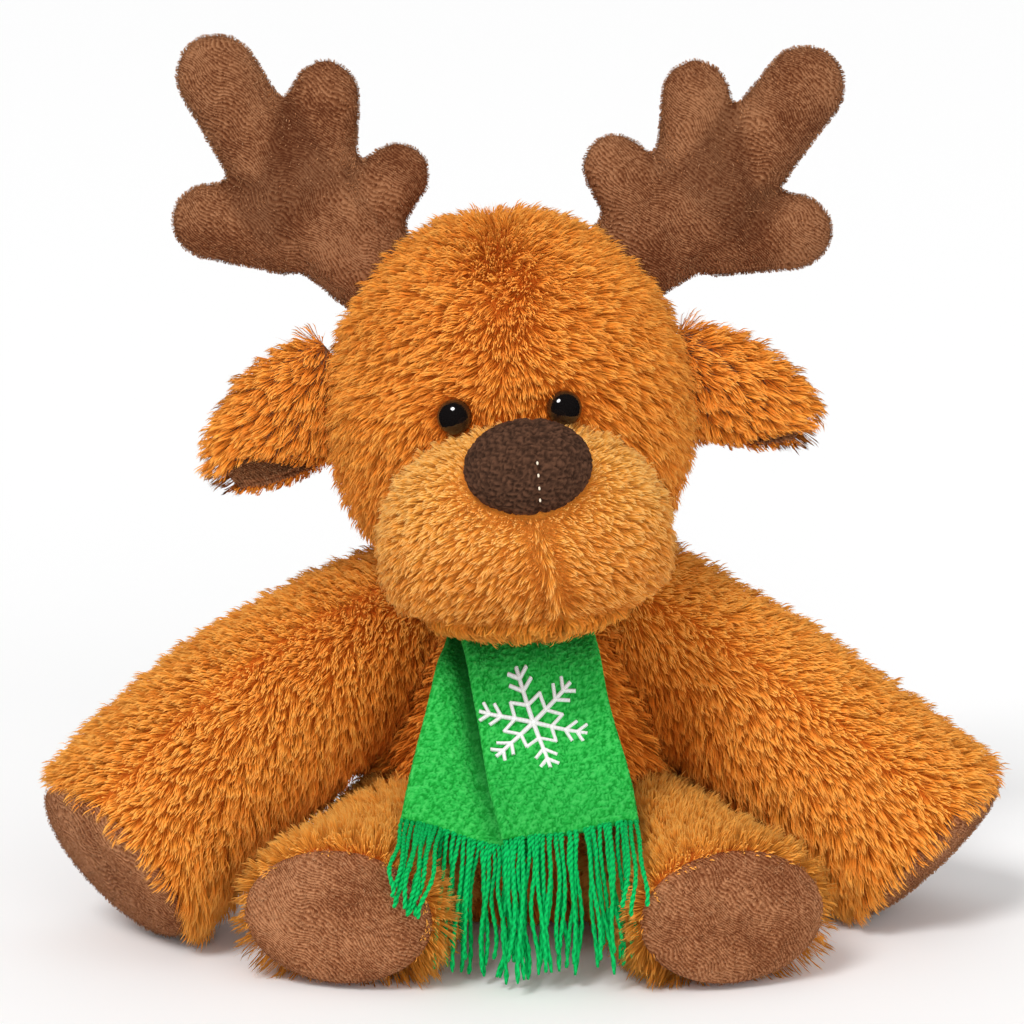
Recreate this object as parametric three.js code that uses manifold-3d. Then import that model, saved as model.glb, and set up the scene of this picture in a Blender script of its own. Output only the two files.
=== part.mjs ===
import * as THREE from 'three';
import { mergeVertices } from 'three/addons/utils/BufferGeometryUtils.js';
import Module from 'manifold-3d';

const wasm = await Module();
wasm.setup();

// Sitting plush deer. Millimetres, +Z up, the face looks along -Y, left and right are the viewer's.

// Cloth, clearances and the floor
const pieceGap = 0.4; // clear distance kept between pieces that touch
const furWall = 3; // long-pile cover: backing cloth with the pile pressed flat
const velvetWall = 2; // short-pile cover of antlers, nose, ear linings and pads
const floorCut = 0.5; // depth of the flat where a soft form stands on the floor
const overrun = 6; // how far a cutting shape runs past what it cuts

// Torso: a pear standing on its seat, with a ball-shaped neck
const torsoHeight = 148;
const torsoHalfWidth = 62;
const torsoHalfDepth = 68;
const torsoForward = 18; // the belly hangs this far ahead of the spine
const torsoShares = [ // height, half width, half depth
	[0, 0.55, 0.55], [0.012, 0.72, 0.72], [0.07, 0.89, 0.89], [0.17, 0.98, 0.98], [0.3, 1, 1],
	[0.45, 0.96, 0.96], [0.6, 0.86, 0.84], [0.74, 0.72, 0.68], [0.86, 0.56, 0.52], [0.95, 0.38, 0.34],
	[1, 0.18, 0.16],
];
const neckRadius = 34;
const neckHeight = 135; // height of the neck ball's centre, about which the head turns
const neckForward = 24;
const neckOpening = 15; // radius of the hole through which the body is filled
const headTurnRange = 20; // degrees, each way

// Bag of plastic pellets in the seat
const pelletBagRadius = 24;
const pelletBagBack = 20; // of its middle behind the torso's middle
const pelletBagHeight = 18;
const pelletBagShares = [[0, 0], [0.72, 0], [0.94, 0.16], [1, 0.4], [0.94, 0.68], [0.7, 0.92], [0, 1]];

// Tail
const tailLength = 34;
const tailRadius = 11;
const tailTipRadius = 6;
const tailHeight = 36;
const tailLift = 35; // degrees above level
const tailRange = 20; // degrees, each way

// Head: a round skull with a pouch-shaped muzzle hung low on its front
const headRight = -5;
const headForward = 52;
const headHeight = 205;
const headRoll = 4.5; // degrees, the right side is the higher one
const headYaw = 2.5; // degrees, the nose points a little to the right
const skullHalfWidth = 68;
const skullHalfDepth = 63;
const skullHalfHeight = 76;
const muzzleHalfWidth = 54;
const muzzleHalfDepth = 42;
const muzzleHeight = 78.5;
const muzzleForward = 58; // of its middle, ahead of the skull's middle
const muzzleDrop = 76.5; // of its lowest point, below the skull's middle
const muzzleShares = [ // height, half width, half depth
	[0, 0.34, 0.38], [0.06, 0.64, 0.66], [0.16, 0.86, 0.86], [0.3, 0.99, 0.98], [0.44, 1, 1],
	[0.58, 0.97, 0.98], [0.72, 0.88, 0.94], [0.85, 0.72, 0.84], [0.95, 0.46, 0.62], [1, 0.22, 0.3],
];
const mouthRise = 11; // of the mouth line above the muzzle's lowest point

// Nose: a small fleece pad on the upper front of the muzzle
const noseHalfWidth = 25;
const noseHalfHeight = 19;
const noseHalfDepth = 17;
const noseForward = 92;
const noseDrop = 8;
const noseRight = 2;
const noseLean = 18; // degrees, its face looks this far upward

// Safety eyes: dome, flange and shank in one moulding, locked by a washer inside
const eyeSpacing = 41;
const eyesRight = -2.3; // of their middle, from the skull's middle
const eyeRise = 8; // above the skull's middle
const eyeRadius = 6.8;
const eyeDome = 5.2;
const flangeThickness = 1;
const shankRadius = 2.4;
const shankLength = 12;
const washerRadius = 7.5;
const washerThickness = 2;

// Antlers: flat padded shapes with four tines, measured from the middle of the root
const antlerOut = 52; // of the root from the skull's middle
const leftAntlerRise = 49; // of the root above the skull's middle
const rightAntlerRise = 43;
const antlerBack = 14;
const antlerHeight = 92; // sets the size of the whole shape
const antlerDepthShare = 0.64;
const leftAntlerLean = 7.5; // degrees, positive leans to the viewer's right
const rightAntlerLean = 8;
const antlerRange = 6; // degrees, each way
const antlerShares = [ // start out, start up, start radius, end out, end up, end radius
	[-0.08, 0.05, 0.22, 0.28, 0.41, 0.3],
	[0.1, 0.29, 0.22, -0.12, 0.52, 0.155],
	[0.26, 0.47, 0.21, 0.21, 0.85, 0.165],
	[0.36, 0.42, 0.22, 0.69, 0.91, 0.195],
	[0.36, 0.26, 0.22, 0.7, 0.27, 0.18],
];

// Ears: a folded leaf, long pile outside and short pile inside, open along its lower edge
const earLength = 55;
const earHalfHeight = 23;
const earHalfDepth = 11;
const earBack = 6; // of the root behind the skull's middle
const leftEarRise = 15; // of the root above the skull's middle
const rightEarRise = 8;
const leftEarDroop = 33; // degrees below level
const rightEarDroop = 26;
const earSweep = 12; // degrees, the tip points forward
const earRootFold = 12; // degrees from the bottom to the front wall's lower edge, at the root
const earTipFold = 66; // and at the tip, where the lining shows
const liningShare = 0.88; // of the ear's length that the lining reaches
const earRaiseRange = 10; // degrees up
const earDropRange = 18; // degrees down
const earShares = [ // half height and half depth, at even steps from root to tip
	[0.86, 0.8], [0.94, 0.95], [1, 1.05], [0.98, 1.1], [0.88, 1.05], [0.7, 0.92], [0.42, 0.62],
];

// Arms: thick, resting on their hoofs
const shoulderOut = 48;
const shoulderHeight = 111;
const shoulderRadius = 27;
const hoofRadius = 40;
const leftHoofOut = 160;
const leftHoofForward = 96;
const leftArmArch = 9; // how far the middle of the arm bows upward
const leftHoofTilt = 4; // degrees, the hoof faces this much further down than the arm
const rightHoofOut = 163;
const rightHoofForward = 58;
const rightArmArch = 2;
const rightHoofTilt = 9;
const tiltStart = 0.3; // share of the arm's length where its tilt sets in
const armRaiseRange = 30; // degrees up from rest
const armShares = [ // along, radius
	[0.2, 0.78], [0.42, 0.89], [0.64, 0.95], [0.85, 0.99], [1, 1],
];

// Legs: flat on the floor, soles toward the viewer
const hipOut = 40;
const hipForward = 38;
const hipRadius = 29;
const footHalfHeight = 28;
const footHalfWidth = 38.5;
const leftFootOut = 70;
const rightFootOut = 79;
const footForward = 156;
const legSplayRange = 12; // degrees outward from rest
const legShares = [ // along, half height, half width
	[0.3, 0.98, 0.78], [0.55, 0.96, 0.8], [0.78, 0.97, 0.88], [0.93, 1, 0.98], [1, 0.97, 1],
];
const padThickness = 3;
const padDome = 3; // how far the middle of a pad bulges
const padShares = [[0, 0], [0.2, 0.5], [0.45, 0.85], [0.72, 1]]; // inward, forward

// Scarf: a band round the neck and two tails that lie down the chest and over the belly
const scarfThickness = 2.4;
const scarfWidth = 53;
const collarHalfWidth = 52;
const collarHalfDepth = 44;
const collarBand = 13; // height of the folded band
const collarThickness = 6;
const collarFrontHeight = 121;
const collarSideHeight = 146;
const collarBackHeight = 138;
const chestForward = 72; // where the tails leave the band
const chestHeight = 117;
const bellyForward = 93;
const bellyHeight = 108;
const waistForward = 110; // where they turn out over the lap
const waistHeight = 80;
const lapForward = 137; // where they end
const lapHeight = 53;
const foldDepth = 1; // of the soft lengthwise folds
const foldSpacing = 34;
const upperTailRight = 1; // of the upper tail's top
const upperTailTurn = 10; // degrees
const upperTailLength = 95;
const lowerTailRight = 3;
const lowerTailTurn = -18;
const lowerTailLength = 97;
const fringeLength = 50;
const fringeYarns = 11; // bundles of yarn on each tail
const fringeThickness = 2;
const notchShare = 0.5; // how far up the fringe the notches between bundles reach
const fringeForward = 14; // how far the yarns' ends lie ahead of the tail's end

// Snowflake embroidered on the upper tail
const snowflakeRadius = 21;
const snowflakeBar = 1.9; // width of a stitched bar
const snowflakeThickness = 1;
const snowflakeAlong = 45; // of its middle from the top of the tail
const snowflakeAcross = -5; // of its middle from the tail's middle
const snowflakeTurn = 8; // degrees
const barbBar = 1.4;
const barbAngle = 50; // degrees from the arm that carries it
const barbShares = [[0.6, 0.26], [0.82, 0.22]]; // place along an arm, and length
const starFootShare = 0.34; // place along the arms where the ring of six points leaves them
const starPeakShare = 0.56; // reach of its points between the arms

// Facets
const bodySides = 16;
const headSides = 16;
const limbSides = 12;
const jointSides = 12;
const antlerSides = 10;
const smallSides = 12;
const bandSides = 8;
const fillingSides = (sides) => sides / 2; // every other corner, so it stays inside its cover

const right = new THREE.Vector3(1, 0, 0);
const back = new THREE.Vector3(0, 1, 0);
const up = new THREE.Vector3(0, 0, 1);
const radians = THREE.MathUtils.degToRad;
const placed = (x, y, z) => new THREE.Matrix4().makeTranslation(x, y, z);

function meshed(corners, faces) {
	const geometry = new THREE.BufferGeometry().setFromPoints(corners);
	geometry.setIndex(faces);
	return geometry;
}

// A closed solid through oval sections, each with a centre and two half-axis vectors
function loft(sections, sides, firstTip = sections[0].centre, lastTip = sections.at(-1).centre) {
	const corners = sections.flatMap(({ centre, across, upward }) =>
		Array.from({ length: sides }, (_, side) => {
			const angle = (2 * Math.PI * side) / sides;
			const corner = centre.clone().addScaledVector(across, Math.cos(angle));
			return corner.addScaledVector(upward, Math.sin(angle));
		}));
	const start = corners.length;
	const top = start - sides;
	corners.push(firstTip, lastTip);
	const faces = [];
	for (let side = 0; side < sides; side += 1) {
		const next = (side + 1) % sides;
		faces.push(start, next, side, start + 1, top + side, top + next);
		for (let row = 0; row < top; row += sides) {
			faces.push(row + side, row + next, row + sides + next);
			faces.push(row + side, row + sides + next, row + sides + side);
		}
	}
	return meshed(corners, faces);
}

// A closed slab about a curved sheet, which sheet(u, v) gives for u and v from 0 to 1
function slab(sheet, thickness, columns, rows) {
	const step = 1e-3;
	const normalAt = (u, v) => {
		const acrossU = sheet(u + step, v).sub(sheet(u - step, v));
		return acrossU.cross(sheet(u, v + step).sub(sheet(u, v - step))).normalize();
	};
	const corners = [];
	for (const side of [thickness / 2, -thickness / 2]) {
		for (let row = 0; row <= rows; row += 1) {
			for (let column = 0; column <= columns; column += 1) {
				const [u, v] = [column / columns, row / rows];
				corners.push(sheet(u, v).addScaledVector(normalAt(u, v), side));
			}
		}
	}
	const width = columns + 1;
	const under = width * (rows + 1);
	const faces = [];
	const quad = (a, b, c, d) => faces.push(a, b, c, a, c, d);
	for (let row = 0; row < rows; row += 1) {
		const edge = row * width;
		for (let at = edge; at < edge + columns; at += 1) {
			quad(at, at + 1, at + width + 1, at + width);
			quad(under + at, under + at + width, under + at + width + 1, under + at + 1);
		}
		quad(edge, edge + width, under + edge + width, under + edge);
		const far = edge + columns;
		quad(far, under + far, under + far + width, far + width);
	}
	for (let at = 0; at < columns; at += 1) {
		const end = rows * width + at;
		quad(at, under + at, under + at + 1, at + 1);
		quad(end, end + 1, under + end + 1, under + end);
	}
	return meshed(corners, faces);
}

// Joining and cutting
function solid(geometry) {
	const bare = geometry.clone();
	bare.deleteAttribute('normal');
	bare.deleteAttribute('uv');
	const merged = mergeVertices(bare);
	return new wasm.Manifold(new wasm.Mesh({
		numProp: 3,
		vertProperties: merged.attributes.position.array,
		triVerts: new Uint32Array(merged.index.array),
	}));
}

function surface(body) {
	const mesh = body.getMesh();
	const geometry = new THREE.BufferGeometry();
	geometry.setAttribute('position', new THREE.BufferAttribute(mesh.vertProperties, 3));
	geometry.setIndex(new THREE.BufferAttribute(mesh.triVerts, 1));
	return geometry;
}

const moved = (body, matrix) => solid(surface(body).applyMatrix4(matrix));
const joined = (bodies) => bodies.reduce((whole, body) => whole.add(body));

// What a body sweeps, as seen from a piece that turns about a pivot through these angles
function swept(body, pivot, axis, angles) {
	const steps = angles.map((angle) => {
		const turn = new THREE.Matrix4().makeRotationAxis(axis, -radians(angle));
		const away = placed(-pivot.x, -pivot.y, -pivot.z);
		return moved(body, placed(pivot.x, pivot.y, pivot.z).multiply(turn).multiply(away));
	});
	return joined(steps);
}

const bothWays = (range) => [-range, 0, range];
const sweepStep = 12; // degrees between the places that a cut is swept through
const oneWay = (range) => {
	const count = Math.ceil(range / sweepStep);
	return Array.from({ length: count + 1 }, (_, step) => (range * step) / count);
};

function ellipsoid(halfWidth, halfDepth, halfHeight, sides) {
	const sphere = new THREE.SphereGeometry(1, sides, Math.round(sides / 2)).rotateX(Math.PI / 2);
	return sphere.scale(halfWidth, halfDepth, halfHeight);
}

function ball(centre, radius, sides) {
	return solid(ellipsoid(radius, radius, radius, sides).translate(centre.x, centre.y, centre.z));
}

// Radius of a faceted ball whose flat faces stay outside a true one
const aroundFacets = (radius, sides) => radius / Math.cos(Math.PI / sides) ** 2;

// A revolved outline whose axis is +Z
function turned(outline, sides) {
	const points = outline.map(([radius, height]) => new THREE.Vector2(radius, height));
	return new THREE.LatheGeometry(points, sides).rotateX(Math.PI / 2);
}

const reach = 2 * (torsoHeight + headHeight);
const underFloor = solid(new THREE.BoxGeometry(reach, reach, reach).translate(0, 0, -reach / 2));

// Torso
const neckCentre = new THREE.Vector3(0, -neckForward, neckHeight);

function torsoForm(inset, sides = bodySides) {
	const base = inset - floorCut;
	const height = torsoHeight - base - inset;
	const sections = torsoShares.map(([rise, wide, deep]) => ({
		centre: new THREE.Vector3(0, -torsoForward, base + rise * height),
		across: right.clone().multiplyScalar((torsoHalfWidth - inset) * wide),
		upward: back.clone().multiplyScalar((torsoHalfDepth - inset) * deep),
	}));
	const neckSides = Math.round((jointSides * sides) / bodySides);
	return solid(loft(sections, sides)).add(ball(neckCentre, neckRadius - inset, neckSides));
}

// Limbs: a round root about the joint, then oval sections to a flat end, which may face further down
function limb(pivot, end, root, rows, arch, tilt, turning) {
	const along = end.clone().sub(pivot);
	const length = along.length();
	along.normalize();
	const across = up.clone().cross(along).normalize();
	const upward = along.clone().cross(across);
	const bow = (place) => arch * Math.sin(Math.PI * THREE.MathUtils.clamp(place / length, 0, 1));
	const lean = (place) => radians(tilt) * THREE.MathUtils.smoothstep(place / length, tiltStart, 1);
	const ring = (place, high, wide) => ({
		centre: pivot.clone().addScaledVector(along, place).addScaledVector(upward, bow(place)),
		across: across.clone().multiplyScalar(wide),
		upward: upward.clone().multiplyScalar(high * Math.cos(lean(place)))
			.addScaledVector(along, high * Math.sin(lean(place))),
	});
	return { pivot, length, along, across, upward, root, rows, ring, turning };
}

function limbForm({ root, rows, ring }, inset, stop, sides = limbSides) {
	const rootRings = [-75, -50, -25, 0].map((angle) => {
		const [girth, place] = [Math.cos(radians(angle)), Math.sin(radians(angle))];
		return ring((root.wide - inset) * place, (root.high - inset) * girth, (root.wide - inset) * girth);
	});
	const bodyRings = rows.map(({ place, high, wide }) => ring(place, high - inset, wide - inset));
	const { place, high, wide } = rows.at(-1);
	if (stop < 0) bodyRings.pop();
	bodyRings.push(ring(place + stop, high - inset, wide - inset));
	const tip = ring(inset - root.wide, 0, 0).centre;
	return solid(loft([...rootRings, ...bodyRings], sides, tip));
}

function rootBall({ pivot, along, across, upward, root }, sized) {
	const [wide, high] = [sized(root.wide), sized(root.high)];
	const basis = new THREE.Matrix4().makeBasis(across, upward, along).setPosition(pivot);
	return solid(ellipsoid(wide, high, wide, jointSides).applyMatrix4(basis));
}

function limbPad({ rows, length, ring }, grown) {
	const { high, wide } = rows.at(-1);
	const edge = furWall + pieceGap - grown;
	const oval = (place, inward) =>
		ring(length + place, (high - edge) * (1 - inward), (wide - edge) * (1 - inward));
	const face = padShares.map(([inward, forward]) => oval(padDome * forward + grown, inward));
	return solid(loft([oval(-padThickness, 0), ...face], limbSides));
}

function limbPieces(shape) {
	const hollow = limbForm(shape, furWall, overrun);
	const filling = limbForm(shape, furWall + pieceGap, -padThickness - pieceGap, fillingSides(limbSides));
	const { axis, range } = shape.turning;
	const torsoSide = swept(torsoForm(-pieceGap), shape.pivot, axis, oneWay(range))
		.subtract(rootBall(shape, (radius) => radius));
	return {
		cover: limbForm(shape, 0, 0).subtract(hollow).subtract(torsoSide).subtract(underFloor),
		filling: filling.subtract(torsoSide).subtract(underFloor),
		pad: limbPad(shape, 0).subtract(underFloor),
	};
}

// Height of an arm's end whose rim just reaches the floor
function restingHeight(levelReach, tilt) {
	let height = hoofRadius;
	for (let pass = 0; pass < 8; pass += 1) {
		const slope = Math.atan2(shoulderHeight - height, levelReach);
		height = hoofRadius * Math.cos(slope + radians(tilt)) - floorCut;
	}
	return height;
}

function arm(side, hoofOut, hoofForward, arch, tilt) {
	const pivot = new THREE.Vector3(side * shoulderOut, -torsoForward, shoulderHeight);
	const end = new THREE.Vector3(side * hoofOut, -hoofForward, 0);
	end.z = restingHeight(Math.hypot(end.x - pivot.x, end.y - pivot.y), tilt);
	const length = end.distanceTo(pivot);
	const rows = armShares.map(([place, girth]) => {
		const radius = hoofRadius * girth;
		return { place: place * length, high: radius, wide: radius };
	});
	const turning = { axis: end.clone().sub(pivot).cross(up).normalize(), range: armRaiseRange };
	return limb(pivot, end, { high: shoulderRadius, wide: shoulderRadius }, rows, arch, tilt, turning);
}

function leg(side, footOut) {
	const height = footHalfHeight * legShares.at(-2)[1] - floorCut;
	const pivot = new THREE.Vector3(side * hipOut, -hipForward, height);
	const end = new THREE.Vector3(side * footOut, -footForward, height);
	const length = end.distanceTo(pivot);
	const rows = legShares.map(([place, high, wide]) => (
		{ place: place * length, high: footHalfHeight * high, wide: footHalfWidth * wide }));
	const turning = { axis: up.clone().multiplyScalar(side), range: legSplayRange };
	return limb(pivot, end, { high: footHalfHeight * legShares[0][1], wide: hipRadius }, rows, 0, 0, turning);
}

const limbs = {
	arm_left: arm(-1, leftHoofOut, leftHoofForward, leftArmArch, leftHoofTilt),
	arm_right: arm(1, rightHoofOut, rightHoofForward, rightArmArch, rightHoofTilt),
	leg_left: leg(-1, leftFootOut),
	leg_right: leg(1, rightFootOut),
};
const sockets = joined(Object.values(limbs).map((shape) =>
	rootBall(shape, (radius) => aroundFacets(radius + pieceGap, jointSides))));

function torsoPieces() {
	const [bagFloor, bagMiddle] = [furWall - floorCut + pieceGap, pelletBagBack - torsoForward];
	const bag = (grown) => {
		const outline = pelletBagShares.map(([out, rise]) => [
			out * (pelletBagRadius + grown), rise * (pelletBagHeight + 2 * grown) - grown]);
		return solid(turned(outline, smallSides).translate(0, bagMiddle, bagFloor));
	};
	const recess = new THREE.CylinderGeometry(pelletBagRadius, pelletBagRadius, overrun, smallSides);
	recess.rotateX(Math.PI / 2).translate(0, bagMiddle, bagFloor - overrun / 2);
	const fillHole = new THREE.CylinderGeometry(neckOpening, neckOpening, 2 * neckRadius, smallSides);
	fillHole.rotateX(Math.PI / 2).translate(neckCentre.x, neckCentre.y, neckCentre.z + neckRadius);
	const pocket = bag(pieceGap).add(solid(recess).subtract(torsoForm(0).subtract(torsoForm(furWall))));
	return {
		cover: torsoForm(0).subtract(torsoForm(furWall)).subtract(solid(fillHole)).subtract(sockets)
			.subtract(underFloor),
		filling: torsoForm(furWall + pieceGap, fillingSides(bodySides)).subtract(sockets).subtract(pocket),
		bag: bag(0),
	};
}

// A lobe between two balls, flattened in depth
function lobe(start, startRadius, end, endRadius, sides, depthShare) {
	const along = end.clone().sub(start).normalize();
	const across = back.clone();
	const upward = along.clone().cross(across);
	const cap = (centre, radius, angles) => angles.map((angle) => {
		const girth = radius * Math.cos(radians(angle));
		return {
			centre: centre.clone().addScaledVector(along, radius * Math.sin(radians(angle))),
			across: across.clone().multiplyScalar(girth * depthShare),
			upward: upward.clone().multiplyScalar(girth),
		};
	});
	const rings = [...cap(start, startRadius, [-30]), ...cap(end, endRadius, [10, 55])];
	return solid(loft(rings, sides));
}

const [, , depthAtTail] = torsoShares.findLast(([rise]) => rise * torsoHeight < tailHeight);
const tailPivot = new THREE.Vector3(0, torsoHalfDepth * depthAtTail - torsoForward, tailHeight);

function tailPiece() {
	const lift = new THREE.Vector3(0, Math.cos(radians(tailLift)), Math.sin(radians(tailLift)));
	const start = tailPivot.clone().addScaledVector(lift, -tailRadius / 2);
	const end = tailPivot.clone().addScaledVector(lift, tailLength - tailTipRadius);
	const places = [[start, tailRadius], [tailPivot, tailRadius], [end, tailTipRadius]];
	const rings = places.map(([centre, radius]) => ({
		centre,
		across: right.clone().multiplyScalar(radius),
		upward: lift.clone().cross(right).multiplyScalar(radius),
	}));
	const tip = end.clone().addScaledVector(lift, tailTipRadius);
	const body = solid(loft(rings, smallSides, start, tip));
	return body.subtract(swept(torsoForm(-pieceGap), tailPivot, right, bothWays(tailRange)));
}

// Head, in its own frame: the origin is the skull's middle
const headFrame = new THREE.Matrix4().makeRotationFromEuler(
	new THREE.Euler(0, -radians(headRoll), radians(headYaw)));
headFrame.setPosition(headRight, -headForward, headHeight);
const neckInHead = neckCentre.clone().applyMatrix4(headFrame.clone().invert());

function skullForm(inset, sides = headSides) {
	const halves = [skullHalfWidth, skullHalfDepth, skullHalfHeight].map((half) => half - inset);
	return solid(ellipsoid(...halves, sides));
}

function muzzleForm(inset, sides = headSides) {
	const base = inset - muzzleDrop;
	const height = muzzleHeight - 2 * inset;
	const sections = muzzleShares.map(([rise, wide, deep]) => ({
		centre: new THREE.Vector3(0, -muzzleForward, base + rise * height),
		across: right.clone().multiplyScalar((muzzleHalfWidth - inset) * wide),
		upward: back.clone().multiplyScalar((muzzleHalfDepth - inset) * deep),
	}));
	return solid(loft(sections, sides));
}

function noseForm(inset) {
	const halves = [noseHalfWidth, noseHalfDepth, noseHalfHeight].map((half) => half - inset);
	const pad = ellipsoid(...halves, smallSides + 2);
	return solid(pad.rotateX(-radians(noseLean)).translate(noseRight, -noseForward, -noseDrop));
}

// Eyes stand square on the skull
function eyeFrame(side) {
	const out = eyesRight + (side * eyeSpacing) / 2;
	const flatness = 1 - (out / skullHalfWidth) ** 2 - (eyeRise / skullHalfHeight) ** 2;
	const seat = new THREE.Vector3(out, -skullHalfDepth * Math.sqrt(flatness), eyeRise);
	const outward = seat.clone().divide(
		new THREE.Vector3(skullHalfWidth ** 2, skullHalfDepth ** 2, skullHalfHeight ** 2)).normalize();
	const turn = new THREE.Quaternion().setFromUnitVectors(up, outward);
	return new THREE.Matrix4().compose(seat, turn, new THREE.Vector3(1, 1, 1));
}

const hollowing = (radius) => radius ** 2 / (2 * skullHalfDepth); // of a round seat in the curved cover
const flattening = 2 * skullHalfDepth * (1 - Math.cos(Math.PI / headSides)); // of its facets
const washerSeat = furWall + 2 * pieceGap + hollowing(washerRadius) + flattening;

function eyePiece() {
	const rim = pieceGap + flangeThickness;
	const domeOutline = [0, 20, 40, 60, 78].map((angle) => [
		eyeRadius * Math.cos(radians(angle)), rim + eyeDome * Math.sin(radians(angle))]);
	return turned([[0, -shankLength], [shankRadius, -shankLength], [shankRadius, pieceGap],
		[eyeRadius, pieceGap], ...domeOutline, [0, rim + eyeDome]], smallSides);
}

function washerPiece() {
	const inner = shankRadius + pieceGap;
	const outline = [[inner, -washerSeat - washerThickness], [washerRadius, -washerSeat - washerThickness],
		[washerRadius, -washerSeat], [inner, -washerSeat]];
	return turned([...outline, outline[0]], smallSides);
}

function eyeHole(radius, depth) {
	return solid(turned([[0, -depth], [radius, -depth], [radius, overrun], [0, overrun]], smallSides));
}

function headPieces() {
	const neckSocket = ball(neckInHead, aroundFacets(neckRadius + pieceGap, jointSides), jointSides);
	const shankHole = eyeHole(shankRadius + pieceGap, shankLength + pieceGap);
	const eyeHoles = joined([-1, 1].map((side) => moved(shankHole, eyeFrame(side))));
	const pocketDepth = washerSeat + washerThickness + pieceGap;
	const washerPocket = eyeHole(washerRadius + pieceGap, pocketDepth).add(shankHole);
	const washerPockets = joined([-1, 1].map((side) => moved(washerPocket, eyeFrame(side))));
	const skullShell = skullForm(0).subtract(skullForm(furWall));
	const muzzleShell = muzzleForm(0).subtract(muzzleForm(furWall)).subtract(skullForm(-pieceGap));
	const jawSize = 2 * muzzleHalfWidth + 2 * muzzleHalfDepth;
	const jawBlock = (top) => solid(new THREE.BoxGeometry(jawSize, jawSize, muzzleHeight)
		.translate(0, -muzzleForward, top - muzzleHeight / 2));
	const mouth = mouthRise - muzzleDrop;
	const inner = [furWall + pieceGap, fillingSides(headSides)];
	const filling = skullForm(...inner).add(muzzleForm(...inner));
	const nose = noseForm(0).subtract(noseForm(velvetWall)).subtract(muzzleForm(-pieceGap));
	const noseFilling = noseForm(velvetWall + pieceGap).subtract(muzzleForm(-pieceGap));
	return {
		head_cover: skullShell.subtract(muzzleForm(-pieceGap)).subtract(neckSocket).subtract(eyeHoles),
		head_filling: filling.subtract(neckSocket).subtract(washerPockets),
		muzzle_cover: muzzleShell.subtract(neckSocket).subtract(jawBlock(mouth + pieceGap)),
		chin_cover: muzzleShell.subtract(neckSocket).intersect(jawBlock(mouth)),
		nose_cover: nose.subtract(skullForm(-pieceGap)),
		nose_filling: noseFilling.subtract(skullForm(-pieceGap)),
	};
}

// Antlers, in the head's frame
const antlerPivot = (side) => new THREE.Vector3(
	side * antlerOut, antlerBack, side < 0 ? leftAntlerRise : rightAntlerRise);

function antlerForm(side, lean, inset, sides = antlerSides) {
	const at = (out, rise) => new THREE.Vector3(side * out * antlerHeight, 0, rise * antlerHeight);
	const lobes = antlerShares.map(([fromOut, fromUp, fromRadius, toOut, toUp, toRadius]) => {
		const [startRadius, endRadius] = [fromRadius, toRadius].map((share) => share * antlerHeight - inset);
		const depthShare = (antlerDepthShare * (startRadius + inset) - inset) / startRadius;
		return lobe(at(fromOut, fromUp), startRadius, at(toOut, toUp), endRadius, sides, depthShare);
	});
	const pivot = antlerPivot(side);
	const frame = new THREE.Matrix4().makeRotationY(radians(lean)).setPosition(pivot);
	return moved(joined(lobes), frame);
}

function antlerPieces(side, lean) {
	const skull = swept(skullForm(-pieceGap), antlerPivot(side), back, bothWays(antlerRange));
	return {
		cover: antlerForm(side, lean, 0).subtract(antlerForm(side, lean, velvetWall)).subtract(skull),
		filling: antlerForm(side, lean, velvetWall + pieceGap, fillingSides(antlerSides)).subtract(skull),
	};
}

// Ears, in the head's frame
function earAxes(side) {
	const [droop, sweep] = [radians(side < 0 ? leftEarDroop : rightEarDroop), radians(earSweep)];
	const level = Math.cos(droop);
	const along = new THREE.Vector3(side * level * Math.cos(sweep), -level * Math.sin(sweep),
		-Math.sin(droop));
	const front = along.clone().cross(up).multiplyScalar(side).normalize();
	const high = front.clone().cross(along).multiplyScalar(side).normalize();
	return { along, front, high };
}

const earPivot = (side) => new THREE.Vector3(
	side * skullHalfWidth, earBack, side < 0 ? leftEarRise : rightEarRise);

// A share between the even steps of a table
function shareAt(table, place, column) {
	const at = place * (table.length - 1);
	const low = Math.min(Math.floor(at), table.length - 2);
	return THREE.MathUtils.lerp(table[low][column], table[low + 1][column], at - low);
}

function earSheet(side, inset, lengthShare) {
	const { along, front, high } = earAxes(side);
	const root = earPivot(side);
	return (u, v) => {
		const place = lengthShare * THREE.MathUtils.clamp(v, 0, 1);
		const halfHeight = earHalfHeight * shareAt(earShares, place, 0) - inset;
		const halfDepth = earHalfDepth * shareAt(earShares, place, 1) - inset;
		const frontEdge = THREE.MathUtils.lerp(earRootFold, earTipFold, place);
		const angle = radians(THREE.MathUtils.lerp(frontEdge, 360, u));
		return root.clone().addScaledVector(along, lengthShare * v * (earLength + overrun) - overrun)
			.addScaledVector(high, -halfHeight * Math.cos(angle))
			.addScaledVector(front, halfDepth * Math.sin(angle));
	};
}

function earPieces(side) {
	const skull = swept(skullForm(-pieceGap), earPivot(side), back.clone().multiplyScalar(-side),
		[-earDropRange, 0, earRaiseRange]);
	const liningInset = (furWall + velvetWall) / 2 + 3 * pieceGap;
	const piece = (inset, wall, lengthShare) => {
		const sheet = earSheet(side, inset, lengthShare);
		const outward = side < 0 ? sheet : (u, v) => sheet(1 - u, v);
		return solid(slab(outward, wall, 9, earShares.length - 1)).subtract(skull);
	};
	return { back: piece(0, furWall, 1), lining: piece(liningInset, velvetWall, liningShare) };
}

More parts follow.
